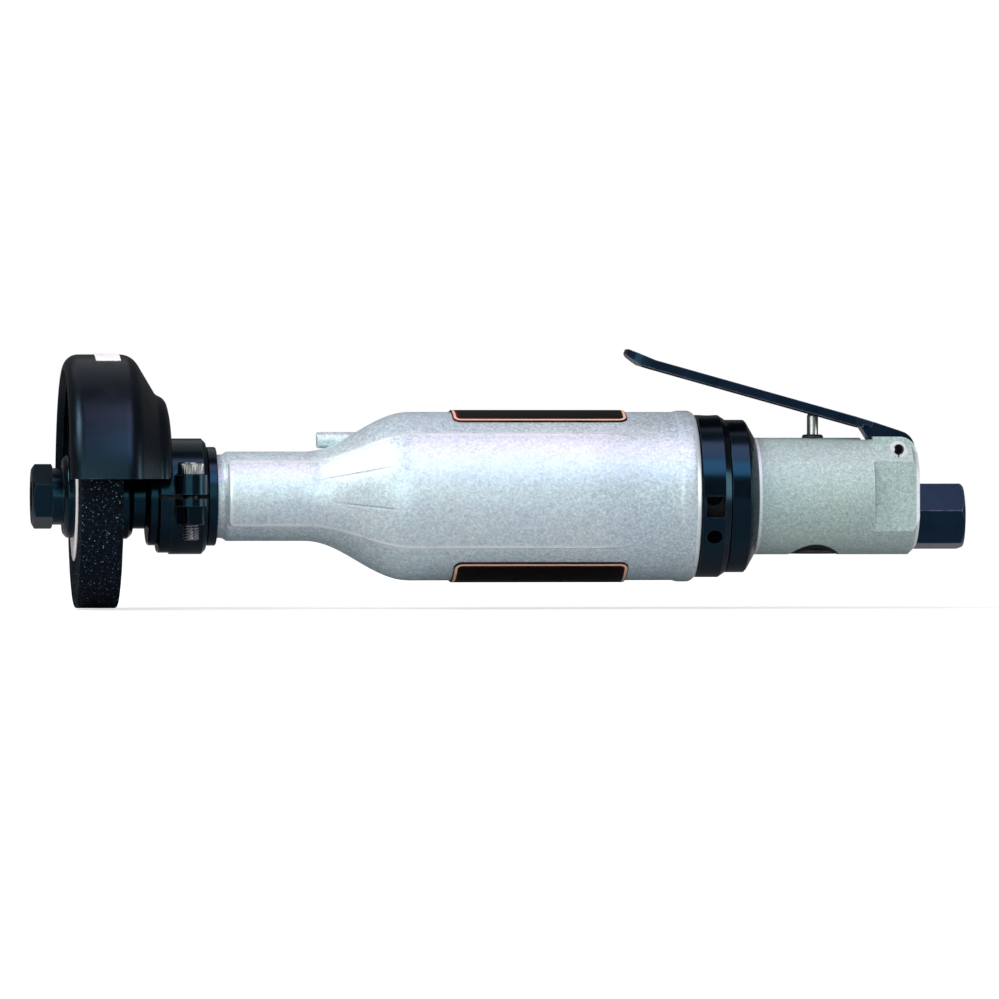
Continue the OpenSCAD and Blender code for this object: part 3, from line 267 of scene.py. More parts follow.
class Field:
    """A value that varies over a surface. Arithmetic on it adds Math nodes to its finish."""

    def __init__(self, finish, socket):
        self.finish = finish
        self.socket = socket

    def maths(self, operation, first, second=0.0):
        return self.finish.add("ShaderNodeMath", {"operation": operation}, {0: first, 1: second})

    def __add__(self, other):
        return self.maths("ADD", self, other)

    __radd__ = __add__

    def __sub__(self, other):
        return self.maths("SUBTRACT", self, other)

    def __rsub__(self, other):
        return self.maths("SUBTRACT", other, self)

    def __mul__(self, other):
        return self.maths("MULTIPLY", self, other)

    __rmul__ = __mul__

    def __pow__(self, other):
        return self.maths("POWER", self, other)

    def over(self, edge):
        return self.maths("GREATER_THAN", self, edge)

    def clipped(self):
        return self.finish.add("ShaderNodeClamp", {}, {"Value": self})


def toned(colour, factor):
    """Colour multiplied by one number, or channel by channel by three."""
    return tuple(np.multiply(colour, factor))


class Finish:
    """A material or world in the making: add() makes any node, the rest name its usual uses."""

    def __init__(self, name, family="materials"):
        self.material = getattr(bpy.data, family).new(name)
        self.material.use_nodes = True
        self.nodes = self.material.node_tree.nodes
        self.links = self.material.node_tree.links
        self.nodes.clear()
        self.where = self.add("ShaderNodeTexCoord", {}, {}, "Object")

    def add(self, kind, settings, sockets, output=0):
        """New node with its settings, then its sockets' values or links. Gives one output."""
        node = self.nodes.new(kind)
        for key, value in settings.items():
            setattr(node, key, value)
        for key, value in sockets.items():
            if isinstance(value, Field):
                self.links.new(value.socket, node.inputs[key])
            else:
                node.inputs[key].default_value = value
        return Field(self, node.outputs[output]) if len(node.outputs) else None

    def noise(self, scale, detail=2.0, roughness=0.5, at=None):
        """Cloudy noise about 0.5, scale in repeats for each metre."""
        return self.add("ShaderNodeTexNoise", {}, {
            "Vector": at or self.where, "Scale": scale, "Detail": detail, "Roughness": roughness})

    def specks(self, scale, output="Color"):
        """Cells with a colour of their own, scale in cells for each metre."""
        return self.add("ShaderNodeTexVoronoi", {}, {"Vector": self.where, "Scale": scale}, output)

    def ramp(self, value, low, high):
        """0 below low, 1 above high, straight between."""
        return self.add("ShaderNodeMapRange", {}, {"Value": value, "From Min": low, "From Max": high})

    def mix(self, factor, first, second):
        """Colour between two colours."""
        first = (*first, 1.0) if isinstance(first, tuple) else first
        second = (*second, 1.0) if isinstance(second, tuple) else second
        return self.add(
            "ShaderNodeMix", {"data_type": "RGBA"}, {"Factor": factor, 6: first, 7: second}, 2)

    def brighten(self, colour, factor):
        """Colour times a number that varies."""
        return self.add("ShaderNodeVectorMath", {"operation": "SCALE"}, {0: colour, "Scale": factor})

    def part(self, colour, output):
        """One channel of a colour."""
        return self.add("ShaderNodeSeparateColor", {}, {"Color": colour}, output)

    def attribute(self, name):
        """Number that the points of the piece carry."""
        return self.add("ShaderNodeAttribute", {"attribute_name": name}, {}, "Fac")

    def ray(self, kind):
        """1 where light of one kind meets the surface."""
        return self.add("ShaderNodeLightPath", {}, {}, kind)

    def bump(self, height, distance):
        """Normal from a height that varies by 1, distance in millimetres."""
        return self.add("ShaderNodeBump", {}, {
            "Height": height, "Distance": distance * MM, "Strength": 1.0}, "Normal")

    def edges(self, radius):
        """1 on sharp outer edges, by how far a rounded normal leans from the true one."""
        soft = self.add("ShaderNodeBevel", {"samples": 4}, {"Radius": radius * MM}, "Normal")
        true = self.add("ShaderNodeNewGeometry", {}, {}, "Normal")
        same = self.vector("DOT_PRODUCT", soft, true, "Value")
        return self.ramp(same, 0.985, 0.82)

    def vector(self, operation, first, second, output=0):
        """One operation on two vectors."""
        return self.add("ShaderNodeVectorMath", {"operation": operation}, {0: first, 1: second}, output)

    def along(self, axis):
        """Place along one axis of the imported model, in metres."""
        return self.add("ShaderNodeSeparateXYZ", {}, {0: self.where}, axis)

    def from_line(self, middle, across):
        """Distance in metres from a straight line through the middle, measured across it."""
        off = self.vector("SUBTRACT", self.where, middle)
        flat = self.vector("MULTIPLY", off, across)
        return self.add("ShaderNodeVectorMath", {"operation": "LENGTH"}, {0: flat}, "Value")

    def between(self, low, high, past, into):
        """1 between two stations in metres, fading from past each of them to into the span."""
        x = self.along("X")
        return self.ramp(x, low - past, low + into) * self.ramp(x, high + past, high - into)

    def crease(self, start, end):
        """1 on the line between two points (x, z) in side view, fading out at its ends."""
        slope = (end[1] - start[1]) / (end[0] - start[0])
        off = self.along("Z") - ((self.along("X") - start[0]) * slope + start[1])
        line = self.ramp(off.maths("ABSOLUTE", off), CREASE_HALF, CREASE_HALF * 0.3)
        return line * self.between(start[0], end[0], 2.0 * MM, 3.0 * MM)

    def tool_rings(self, scale):
        """Fine rings left by turning: noise of station and radius alone."""
        radius = self.from_line((0.0, 0.0, AXIS_Z), (0.0, 1.0, 1.0))
        at = self.add("ShaderNodeCombineXYZ", {}, {"X": self.along("X"), "Y": radius})
        return self.noise(scale, 1.0, at=at)

    def done(self, **sockets):
        """Joins the finish to the output through one Principled shader."""
        names = {key.replace("_", " "): value for key, value in sockets.items()}
        shader = self.add("ShaderNodeBsdfPrincipled", {}, names, "BSDF")
        self.add("ShaderNodeOutputMaterial", {}, {"Surface": shader})
        return self.material


WHITE = (1.0, 1.0, 1.0, 1.0)
CREASE_HALF = 0.5 * MM
TAPER_CREASES = (((-113.2, 4.9), (-94.0, 8.5)), ((-107.8, -2.0), (-92.2, -3.8)))
WEAR_AND_HIGHLIGHT_ALLOY = (0.88, 0.97, 0.95)
PAINTED_SHADE_BLACK = (0.005, 0.005, 0.006)


def cast_finish(name, colour, grain, lift, metal, lit_edge_bands, shade_spots, creases=()):
    """Cast light alloy under enamel: sparkling flakes over a fine sandy skin.

    Each pair of stations after metal bounds an edge band given a painted highlight, mixed to pale
    alloy. Each field after those is 1 where painted shade blackens the skin. creases are pairs of
    points (x, z) in side view that a fine groove joins, dented in the bump and darkened by painted shade.
    """
    f = Finish(name)
    cell = f.specks(grain)
    flake = f.part(cell, "Red")
    cold = f.part(cell, "Blue").over(0.66)
    clump = f.noise(grain * 0.42, 2.0, 0.6)
    tone = f.noise(34.0, 3.0)
    sand = f.noise(grain * 0.55, 3.0, 0.65)
    base = f.mix(f.ramp(tone, 0.35, 0.65), colour, toned(colour, (0.94, 0.97, 1.02)))
    base = f.brighten(base, 0.46 + flake * 0.40 + clump * 0.68)
    base = f.mix(cold * 0.30, base, toned(colour, (0.62, 0.92, 1.04)))
    # Paler edges: sharp edges worn pale, plus a painted highlight along the pad edges and the edge bands
    pad_highlight_patches = f.ramp(f.noise(220.0, 3.0, 0.6), 0.20, 0.50)
    bright = f.edges(0.5) * 0.6 + f.attribute("pad_edge") * pad_highlight_patches * 1.3
    lit_edge_patches = f.ramp(f.noise(500.0, 3.0, 0.6), 0.26, 0.42)
    for low, high in lit_edge_bands:
        bright = bright + f.between(low, high, 0.15 * MM, 0.0) * lit_edge_patches
    bright = bright.clipped()
    base = f.mix(bright * 0.85, base, WEAR_AND_HIGHLIGHT_ALLOY)
    for start, end in creases:
        crease = f.crease(start, end)
        # Painted shade: the crease's line is darkened as if shade lay in the groove; its dent is in the bump
        base = f.mix(crease * 0.4, base, toned(colour, 0.35))
        sand = sand - crease * 2.0
    # Painted shade: each field blackens the skin where shade falls
    for spot in shade_spots:
        base = f.mix(spot(f), base, PAINTED_SHADE_BLACK)
    return f.done(
        Base_Color=base, Metallic=metal, Normal=f.bump(sand, lift),
        Roughness=0.54 - 0.36 * metal + flake * 0.16 + tone * 0.06 - bright * 0.1)


def exhaust_window_shade(f):
    """1 on the seat of the exhaust ring, which painted shade blackens where the ring's openings show it."""
    seat_end = REAR_FACE_X + 12.0 * MM
    return f.ramp(f.along("X"), seat_end + 2.0 * MM, seat_end)


def collar_slit_shade(f):
    """1 on the nose of the case inside the collar of the guard, seen through its slit: painted shade under the
    collar.
    """
    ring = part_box("stop_ring")[0][0]
    return f.ramp(f.along("X"), ring + 0.5 * MM, ring)


def plug_recess_shade(f):
    """1 in and just beside the recess of the valve plug, under the throttle body: painted shade in and round the
    recess.
    """
    low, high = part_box("valve_plug")
    middle = ((low[0] + high[0]) / 2, 0.0, 0.0)
    reach = 8.0 * MM
    top = AXIS_Z - 9.0 * MM
    near = f.ramp(f.from_line(middle, (1.0, 0.8, 0.0)), reach, reach - 0.2 * MM)
    return near * f.ramp(f.along("Z"), top, top - 1.0 * MM)


def black_finish(name, deep, pale, shine, tint, wear):
    """Blued or oxidised steel: near black with a cold cast, worn paler along its edges."""
    f = Finish(name)
    cloud = f.noise(160.0, 4.0, 0.6)
    fine = f.noise(2600.0, 2.0)
    worn = f.edges(0.45) * f.ramp(f.noise(420.0, 3.0), 0.30, 0.58)
    base = f.mix(f.ramp(cloud, 0.3, 0.72), deep, pale)
    base = f.mix(worn * wear, base, (0.30, 0.38, 0.44))
    return f.done(
        Base_Color=base, Metallic=worn * wear, Roughness=shine + cloud * 0.08 + fine * 0.05,
        Specular_IOR_Level=0.4, Specular_Tint=(*tint, 1.0), Normal=f.bump(fine, 0.012))


def satin_paint(name, colour):
    """Satin black enamel on pressed steel: slight orange peel and dust, chipped on its edges."""
    f = Finish(name)
    peel = f.noise(520.0, 2.0)
    dust = f.ramp(f.noise(90.0, 5.0, 0.7), 0.48, 0.75)
    chips = f.edges(0.5) * f.ramp(f.noise(300.0, 4.0, 0.7), 0.5, 0.6)
    base = f.mix(dust * 0.25, colour, (0.008, 0.010, 0.014))
    base = f.mix(chips * 0.5, base, (0.16, 0.17, 0.19))
    return f.done(
        Base_Color=base, Metallic=chips * 0.7, Roughness=0.30 + dust * 0.12, Specular_IOR_Level=0.30,
        Specular_Tint=(0.34, 0.72, 1.0, 1.0), Normal=f.bump(peel, 0.02))


def machined_finish(name, colour, shine=0.22):
    """Turned steel: rings of the tool, bright, with a little oil staining."""
    f = Finish(name)
    rings = f.tool_rings(5200.0)
    stain = f.noise(120.0, 4.0, 0.6)
    base = f.mix(f.ramp(stain, 0.4, 0.8), colour, toned(colour, 0.78))
    base = f.brighten(base, 0.9 + rings * 0.2)
    return f.done(
        Base_Color=base, Metallic=1.0, Roughness=shine + rings * 0.12 + stain * 0.08,
        Normal=f.bump(rings, 0.006))


def wheel_finish(name, bond, grit):
    """Bonded abrasive: dark grit in a dark bond, painted glints on a few grains, and some torn out."""
    f = Finish(name)
    grains = 1900.0
    cell = f.specks(grains)
    far = f.specks(grains, "Distance")
    # Painted glints: a few grains get a pale blue colour as if catching light
    glint = f.part(cell, "Blue").over(0.72) * f.ramp(far, 0.50, 0.22)
    tint = f.mix(f.part(cell, "Green"), bond, grit)
    shine = f.mix(f.part(cell, "Red") ** 5.0, (0.008, 0.034, 0.085), (0.22, 0.40, 0.50))
    base = f.mix(glint, tint, shine)
    pores = f.noise(1500.0, 3.0, 0.7)
    return f.done(
        Base_Color=base, Roughness=0.85 - glint * 0.4, Specular_IOR_Level=0.08,
        Normal=f.bump(pores - far * 0.6, 0.16))


def rubber_finish(name, colour):
    """Black rubber or plastic: dull, faintly mottled."""
    f = Finish(name)
    mottle = f.noise(700.0, 3.0)
    base = f.brighten(colour, 0.8 + mottle * 0.4)
    return f.done(Base_Color=base, Roughness=0.52 + mottle * 0.16, Normal=f.bump(mottle, 0.02))


def zinc_finish(name, colour):
    """Bright zinc plate: blueish and yellowish clouds over a smooth bright skin."""
    f = Finish(name)
    cloud = f.noise(240.0, 3.0)
    fine = f.noise(3000.0, 2.0)
    base = f.mix(f.ramp(cloud, 0.35, 0.7), colour, toned(colour, (1.02, 0.98, 0.90)))
    return f.done(
        Base_Color=base, Metallic=1.0, Roughness=0.16 + cloud * 0.12 + fine * 0.05,
        Normal=f.bump(fine, 0.006))


def pin_finish(name, colour):
    """Rolled spring pin: bright ring round its bore, where painted shade makes the solid pin black."""
    f = Finish(name)
    low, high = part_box("lever_pin")
    middle = ((low[0] + high[0]) / 2, 0.0, (low[2] + high[2]) / 2)
    # Painted shade: a black disc stands for the dark hollow of the pin's bore
    bore = f.ramp(f.from_line(middle, (1.0, 0.0, 1.0)), 1.70 * MM, 1.50 * MM)
    cloud = f.noise(500.0, 3.0)
    base = f.mix(bore, f.brighten(colour, 0.85 + cloud * 0.3), (0.004, 0.004, 0.004))
    return f.done(
        Base_Color=base, Metallic=0.35 - bore * 0.35, Roughness=0.34 + bore * 0.4 + cloud * 0.1,
        Normal=f.bump(cloud, 0.01))


def fibre_finish(name, colour):
    """Woven phenolic of the vanes: brown resin with threads crossing."""
    f = Finish(name)
    weave = f.add("ShaderNodeTexChecker", {}, {"Vector": f.where, "Scale": 1600.0}, "Fac")
    mottle = f.noise(300.0, 4.0)
    base = f.mix(weave * 0.35 + mottle * 0.3, colour, toned(colour, 0.55))
    return f.done(Base_Color=base, Roughness=0.45 + mottle * 0.2, Normal=f.bump(weave, 0.02))


def paper_finish(name, colour, soiled):
    """Bare label stock: off-white paper with fibres, grubby in patches."""
    f = Finish(name)
    fibre = f.noise(1500.0, 4.0, 0.7)
    grime = f.ramp(f.noise(260.0, 4.0, 0.6), 0.5, 0.8)
    base = f.mix(grime * 0.5, colour, soiled)
    base = f.brighten(base, 0.92 + fibre * 0.12)
    return f.done(Base_Color=base, Roughness=0.6 + fibre * 0.15, Normal=f.bump(fibre, 0.02))


def plate_finish(name, field, rim):
    """Bare nameplate: dark enamel inside a thin copper rim, by the distance in from its edge."""
    f = Finish(name)
    edge = f.attribute("from_edge")
    brush = f.noise(900.0, 3.0, 0.6)
    stain = f.noise(70.0, 4.0, 0.6)
    line = f.ramp(edge, 0.26, 0.34) - f.ramp(edge, 1.05, 1.15)
    glow = f.ramp(edge, 2.4, 1.1) * f.ramp(stain, 0.42, 0.6)
    enamel = f.mix(glow * 0.8, field, (0.10, 0.008, 0.010))
    base = f.mix(line, enamel, f.brighten(rim, 0.8 + brush * 0.4))
    return f.done(
        Base_Color=base, Metallic=line * 0.35, Roughness=0.34 + brush * 0.12, Specular_IOR_Level=0.05,
        Normal=f.bump(line, 0.05))


def all_finishes(look):
    """All finishes of the grinder by the record's slot names, from the colours of the panel."""
    case_end = REAR_FACE_X
    ring_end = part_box("rear_ring")[1][0]
    body_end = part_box("throttle_body")[1][0]
    creases = [[TOOL_ORIGIN[::2] + np.array(point) * MM for point in pair] for pair in TAPER_CREASES]
    made = {
        "cast_silver": (
            cast_finish, look.case_colour, 2100.0, 0.05, 0.5,
            # Painted highlight on a band at the rear face, painted shade on the nose in the collar's slit
            [(case_end - 1.4 * MM, case_end - 0.3 * MM)], (collar_slit_shade,), creases),
        "cast_green": (
            cast_finish, look.throttle_colour, 2600.0, 0.035, 0.2,
            # Painted highlights on two edge bands, painted shade on the ring's seat and round the plug's recess
            [(ring_end, ring_end + 0.8 * MM), (body_end - 0.9 * MM, body_end + 0.1 * MM)],
            (exhaust_window_shade, plug_recess_shade)),
        "plate_dark": (plate_finish, look.plate_colour, tuple(look.rim_colour)),
        "black_oxide": (
            black_finish, look.oxide_colour, (0.002, 0.003, 0.005), 0.13, (0.18, 0.66, 1.0), 0.15),
        "blued_steel": (
            black_finish, look.blue_colour, (0.006, 0.012, 0.026), 0.17, (0.19, 0.62, 1.0), 0.8),
        "guard_black": (satin_paint, look.guard_colour),
        "machined_steel": (machined_finish, (0.62, 0.62, 0.61)),
        "bearing_steel": (machined_finish, (0.74, 0.74, 0.75), 0.12),
        "brass": (machined_finish, (0.80, 0.60, 0.30)),
        "abrasive": (wheel_finish, (0.001, 0.002, 0.003), (0.004, 0.008, 0.014)),
        "rubber_black": (rubber_finish, (0.008, 0.008, 0.009)),
        "zinc": (zinc_finish, (0.26, 0.27, 0.29)),
        "pin_steel": (pin_finish, (0.88, 0.90, 0.90)),
        "phenolic": (fibre_finish, (0.30, 0.17, 0.08)),
        "label_paper": (paper_finish, (0.93, 0.93, 0.90), (0.62, 0.60, 0.56)),
    }
    return {slot: make(slot, tuple(colour), *more) for slot, (make, colour, *more) in made.items()}


FINISHES = {}


def finish(slot):
    """The finish of one slot, made with all the others the first time."""
    if not FINISHES:
        FINISHES.update(all_finishes(bpy.context.scene.grinder_look))
    return FINISHES[slot]


# Sizes and colours that a user would change


class GrinderCase(bpy.types.PropertyGroup):
    pad_height: bpy.props.FloatProperty(
        name="Pad height", description="Height of the grip pads over the case, in millimetres",
        default=0.8, min=0.2, max=1.2)
    pad_slope: bpy.props.FloatProperty(
        name="Pad slope", description="Width of the slope at the edge of a pad, in millimetres",
        default=0.6, min=0.3, max=2.0)
    plate_corner: bpy.props.FloatProperty(
        name="Plate corner", description="Corner radius of the bare nameplates, in millimetres",
        default=2.6, min=0.5, max=6.0)


class GrinderFront(bpy.types.PropertyGroup):
    grain_height: bpy.props.FloatProperty(
        name="Grain height", description="Roughness of the rim of the wheel, in millimetres",
        default=0.16, min=0.0, max=0.3)
    lip_radius: bpy.props.FloatProperty(
        name="Lip radius", description="Radius of the rolled lip of the guard, in millimetres",
        default=4.5, min=3.0, max=4.5)
    knurl_count: bpy.props.IntProperty(
        name="Knurl teeth", description="Teeth round the head of the clamp screw",
        default=36, min=12, max=60)


class GrinderRear(bpy.types.PropertyGroup):
    edge: bpy.props.FloatProperty(
        name="Edge", description="Rounding of machined edges, in millimetres",
        default=0.3, min=0.1, max=0.6)
    thread_pitch: bpy.props.FloatProperty(
        name="Thread pitch", description="Pitch of the thread in the air inlet, in millimetres",
        default=1.41, min=0.8, max=2.0)


def colour_property(name, description, default):
    """Colour of the panel, in scene linear values."""
    return bpy.props.FloatVectorProperty(
        name=name, description=description, subtype="COLOR", size=3,
        default=default, min=0.0, max=1.0)


class GrinderLook(bpy.types.PropertyGroup):
    case_colour: colour_property("Case", "Silver enamel of the case", (0.60, 0.71, 0.70))
    throttle_colour: colour_property("Throttle", "Grey-green enamel of the body", (0.45, 0.57, 0.50))
    guard_colour: colour_property("Guard", "Satin enamel of the guard", (0.0015, 0.002, 0.003))
    oxide_colour: colour_property("Oxide", "Black oxide of collar, rings and nuts", (0.001, 0.0015, 0.002))
    blue_colour: colour_property("Blueing", "Blue-black of lever and inlet", (0.003, 0.006, 0.013))
    plate_colour: colour_property("Plates", "Dark field of the bare nameplates", (0.003, 0.001, 0.001))
    rim_colour: colour_property("Rims", "Copper rim of the bare nameplates", (0.95, 0.62, 0.42))


class GrinderStage(bpy.types.PropertyGroup):
    azimuth: bpy.props.FloatProperty(
        name="Azimuth", description="Camera's turn from straight on towards the wheel, in degrees",
        default=5.7, min=-90.0, max=90.0)
    elevation: bpy.props.FloatProperty(
        name="Elevation", description="Camera's height over the axis, in degrees",
        default=0.3, min=-20.0, max=60.0)
    distance: bpy.props.FloatProperty(
        name="Distance", description="Camera to the middle of the grinder", default=3.4, unit="LENGTH")
    lens: bpy.props.FloatProperty(
        name="Lens", description="Focal length in millimetres", default=408.0, min=20.0, max=600.0)


# Operators, one for each piece or group of like pieces


class GRINDER_OT_case(bpy.types.Operator):
    """Case with its soft raised grip pads, lip, boss and bores, and the stop ring on its nose"""

    bl_idname = "grinder.case"
    bl_label = "Case"

    NOSE_R = 12.2
    NECK_R = 13.4
    BARREL_R = 25.3
    NECK_LEN = 26.7
    TAPER_LEN = 31.6
    BARREL_LEN = 85.8
    LIP_LEN = 5.4
    NECK_X = -(BARREL_LEN + TAPER_LEN + NECK_LEN)
    MOTOR_R = 21.4
    COUPLING_R = 10.6
    SEAT_R = 9.5
    SEAL_R = 7.9
    PAD_BACK = -15.6
    PAD_RUN_OUT = 20.0
    PAD_CORNER = 9.0
    PAD_NECK = 9.9
    PAD_BARREL = 17.3
    PAD_FRONT_CORNER = 1.6
    PAD_FRONT = NECK_X + 3.1
    BOSS_R = 2.4
    BOSS_LEN = 13.0
    BOSS_REACH = 17.1
    BOSS_LEAN = math.radians(10.0)

    def taper(self, x):
        """0 on the neck, 1 on the barrel, half a cosine wave between."""
        u = np.clip((x + self.BARREL_LEN + self.TAPER_LEN) / self.TAPER_LEN, 0.0, 1.0)
        return (1 - np.cos(np.pi * u)) / 2

    def pad_inside(self, x, z):
        """Distance in from the pad's outline in side view, in millimetres."""
        half = self.PAD_NECK + (self.PAD_BARREL - self.PAD_NECK) * self.taper(x)
        tail = x - (self.PAD_BACK - self.PAD_CORNER)
        head = self.PAD_FRONT + self.PAD_FRONT_CORNER - x
        rise_tail = np.abs(z) - (half - self.PAD_CORNER)
        rise_head = np.abs(z) - (half - self.PAD_FRONT_CORNER)
        round_tail = self.PAD_CORNER - np.hypot(np.maximum(tail, 0), np.maximum(rise_tail, 0))
        round_head = self.PAD_FRONT_CORNER - np.hypot(np.maximum(head, 0), np.maximum(rise_head, 0))
        return np.minimum(np.minimum(round_tail, round_head), half - np.abs(z))

    def outside(self):
        """Outline of the outer skin from the nose to the rear face."""
        nose_x, _ = ends("housing")
        neck_x = self.NECK_X
        groove_r = self.NECK_R - 0.9
        front = rounded([
            (nose_x, self.SEAT_R, 0.3), (nose_x, self.NOSE_R, 0.4), (neck_x, self.NOSE_R, 0.1),
            (neck_x, groove_r, 0.1), (neck_x + 2.0, groove_r, 0.9),
            (neck_x + 3.2, self.NECK_R, 0.6), (neck_x + 4.0, self.NECK_R, 0.1)])
        steps = np.concatenate([
            np.linspace(neck_x + 4.1, neck_x + 8.0, 14)[:-1],
            np.linspace(neck_x + 8.0, self.PAD_BACK - 11.0, 100)[:-1],
            np.linspace(self.PAD_BACK - 11.0, self.PAD_BACK + 0.6, 39)])
        swell = (self.BARREL_R - self.NECK_R) * self.taper(steps)
        barrel = np.stack([steps, self.NECK_R + swell], axis=1)
        lip_r = self.BARREL_R + 0.4
        rear = rounded([
            (-12.0, self.BARREL_R, 0.1), (-self.LIP_LEN - 0.9, self.BARREL_R, 0.7),
            (-self.LIP_LEN, lip_r, 0.5), (-1.5, lip_r, 0.9), (-0.1, lip_r - 1.1, 0.5),
            (0.0, self.MOTOR_R, 0.1)])
        return np.concatenate([front[4:-4], barrel, rear[4:-4]])

    def inside(self):
        """Outline of the bores from the rear face to the nose, by their steps in the CAD."""
        nose_x, _ = ends("housing")
        plate_x, _ = ends("front_end_plate")
        seat_x, _ = ends("rear_bearing_outer")
        seal_x = nose_x + 11.9
        bore = rounded([
            (0.0, 24.0, 0.1), (0.0, self.MOTOR_R, 0.3), (plate_x, self.MOTOR_R, 0.5),
            (plate_x, 17.4, 0.5), (plate_x - 2.5, 15.4, 0.5), (plate_x - 2.5, self.COUPLING_R, 0.5),
            (seat_x + 10.0, self.COUPLING_R, 0.5), (seat_x + 8.5, self.SEAT_R, 0.4),
            (seat_x, self.SEAT_R, 0.3), (seat_x, self.SEAL_R, 0.3), (seal_x, self.SEAL_R, 0.3),
            (seal_x, self.SEAT_R, 0.3), (nose_x + 1.0, self.SEAT_R, 0.1)])
        return bore[4:]

    def angles(self):
        """Angles round the case, the same in each quarter, closest where the edge of a pad runs."""
        quarter = np.radians(np.concatenate([
            np.arange(0, 36, 1.0), np.arange(36, 50, 0.5), np.arange(50, 90, 1.0)]))
        lap = np.concatenate([quarter, np.pi - quarter, np.pi + quarter, -quarter]) + CASE_ROLL
        return np.unique(np.round(np.mod(lap, 2 * np.pi), 9))

    def execute(self, context):
        size = context.scene.grinder_case
        outside = self.outside()
        profile = np.concatenate([outside, self.inside()])
        angles = self.angles()
        x = np.repeat(profile[:, 0:1], len(angles), axis=1)
        r = np.repeat(profile[:, 1:2], len(angles), axis=1)
        skin = np.zeros_like(x)
        skin[:len(outside)] = 1.0
        inside = self.pad_inside(x, r * np.sin(angles - CASE_ROLL)[None, :])
        run_out = skin * smooth((self.PAD_BACK - x) / self.PAD_RUN_OUT)
        r = r + size.pad_height * run_out * smooth(inside / size.pad_slope)
        faces = quads(len(profile), len(angles), True, True)
        data = mesh_from("case_shell", around(x, r, angles[None, :]), faces, 50.0)
        # Marks the pad edges for the painted highlight of the cast finish
        mark(data, "pad_edge", run_out * np.exp(-((inside - size.pad_slope) / 0.7) ** 2))
        piece("case_shell", data, "case", "cast_silver", ("housing",))
        self.boss()
        softened("stop_ring", "case", "black_oxide", context.scene.grinder_rear.edge)
        return {"FINISHED"}

    def boss(self):
        """Boss along the axis: a closed outline turned about a line that leans off straight up."""
        front = self.NECK_X + self.NECK_LEN + 4.0
        back = front + self.BOSS_LEN
        outline = rounded([
            (front, 0.2, 0.05), (front, self.BOSS_R, 0.35), (back, self.BOSS_R, 0.1), (back, 0.2, 0.05)])
        turn = turn_angles(48)[None, :]
        r = outline[:, 1:2]
        side = r * np.cos(turn) + self.BOSS_REACH * math.sin(self.BOSS_LEAN)
        up = r * np.sin(turn) + self.BOSS_REACH * math.cos(self.BOSS_LEAN)
        points = np.stack([np.broadcast_to(outline[:, 0:1], side.shape), side, up], axis=-1)
        data = mesh_from("case_boss", points, quads(len(outline), 48, True, True))
        piece("case_boss", data, "case", "cast_silver")


class GRINDER_OT_plates(bpy.types.Operator):
    """Bare nameplates on the top and bottom of the case"""

    bl_idname = "grinder.plates"
    bl_label = "Nameplates"

    TOP_R = 25.9
    THICKNESS = 0.9
    EDGE_DROP = 0.3
    HALF_ANGLE = math.radians(34.0)

    def execute(self, context):
        corner = context.scene.grinder_case.plate_corner
        for node, middle in (("top_nameplate", math.pi / 2), ("bottom_nameplate", 1.5 * math.pi)):
            self.plate(node, middle + CASE_ROLL, corner)
        return {"FINISHED"}

    def plate(self, node, middle, corner):
        """Sheet bent round the barrel: width by station narrows in quarter circles at both ends.

        Its top drops towards the edge by the smooth ramp of the distance in from the edge.
        """
        low, high = ends(node)
        r = self.TOP_R
        half_len = (high - low) / 2
        half_width = self.HALF_ANGLE * r
        x_in = half_len * np.sin(np.linspace(-np.pi / 2, np.pi / 2, 61))
        past = np.clip(np.abs(x_in) - (half_len - corner), 0.0, corner)
        half = self.HALF_ANGLE - (corner - np.sqrt(corner ** 2 - past ** 2)) / r
        turn = half[:, None] * np.sin(np.linspace(-np.pi / 2, np.pi / 2, 49))[None, :]
        x = np.repeat((x_in + (low + high) / 2)[:, None], turn.shape[1], axis=1)
        across = (half[:, None] - np.abs(turn)) * r
        along = (half_len - np.abs(x_in))[:, None] * np.ones_like(across)
        round_x = np.clip(corner - along, 0, corner)
        round_y = np.clip(corner - (half_width - np.abs(turn) * r), 0, corner)
        inset = np.minimum(np.minimum(across, along), corner - np.hypot(round_x, round_y))
        inset = np.maximum(inset, 0.0)
        top = r - self.EDGE_DROP + self.EDGE_DROP * smooth(inset / 0.35)
        under = np.full_like(x, r - self.THICKNESS)
        points = np.stack([around(x, top, middle + turn), around(x, under, middle + turn)])
        rows, columns = x.shape
        upper = quads(rows, columns, False, False)
        lower = quads(rows, columns, False, False, rows * columns)
        rim = np.concatenate([
            np.arange(columns), np.arange(1, rows) * columns + columns - 1,
            (rows - 1) * columns + np.arange(columns - 2, -1, -1), np.arange(rows - 2, 0, -1) * columns])
        after = np.roll(rim, -1)
        walls = np.stack([rim, after, after + rows * columns, rim + rows * columns], axis=-1)
        data = mesh_from(node + "_bare", points, np.concatenate([upper, lower, walls]), 40.0)
        mark(data, "from_edge", np.concatenate([inset.ravel(), np.zeros(inset.size)]))
        piece(node + "_bare", data, "case", "plate_dark", (node,))


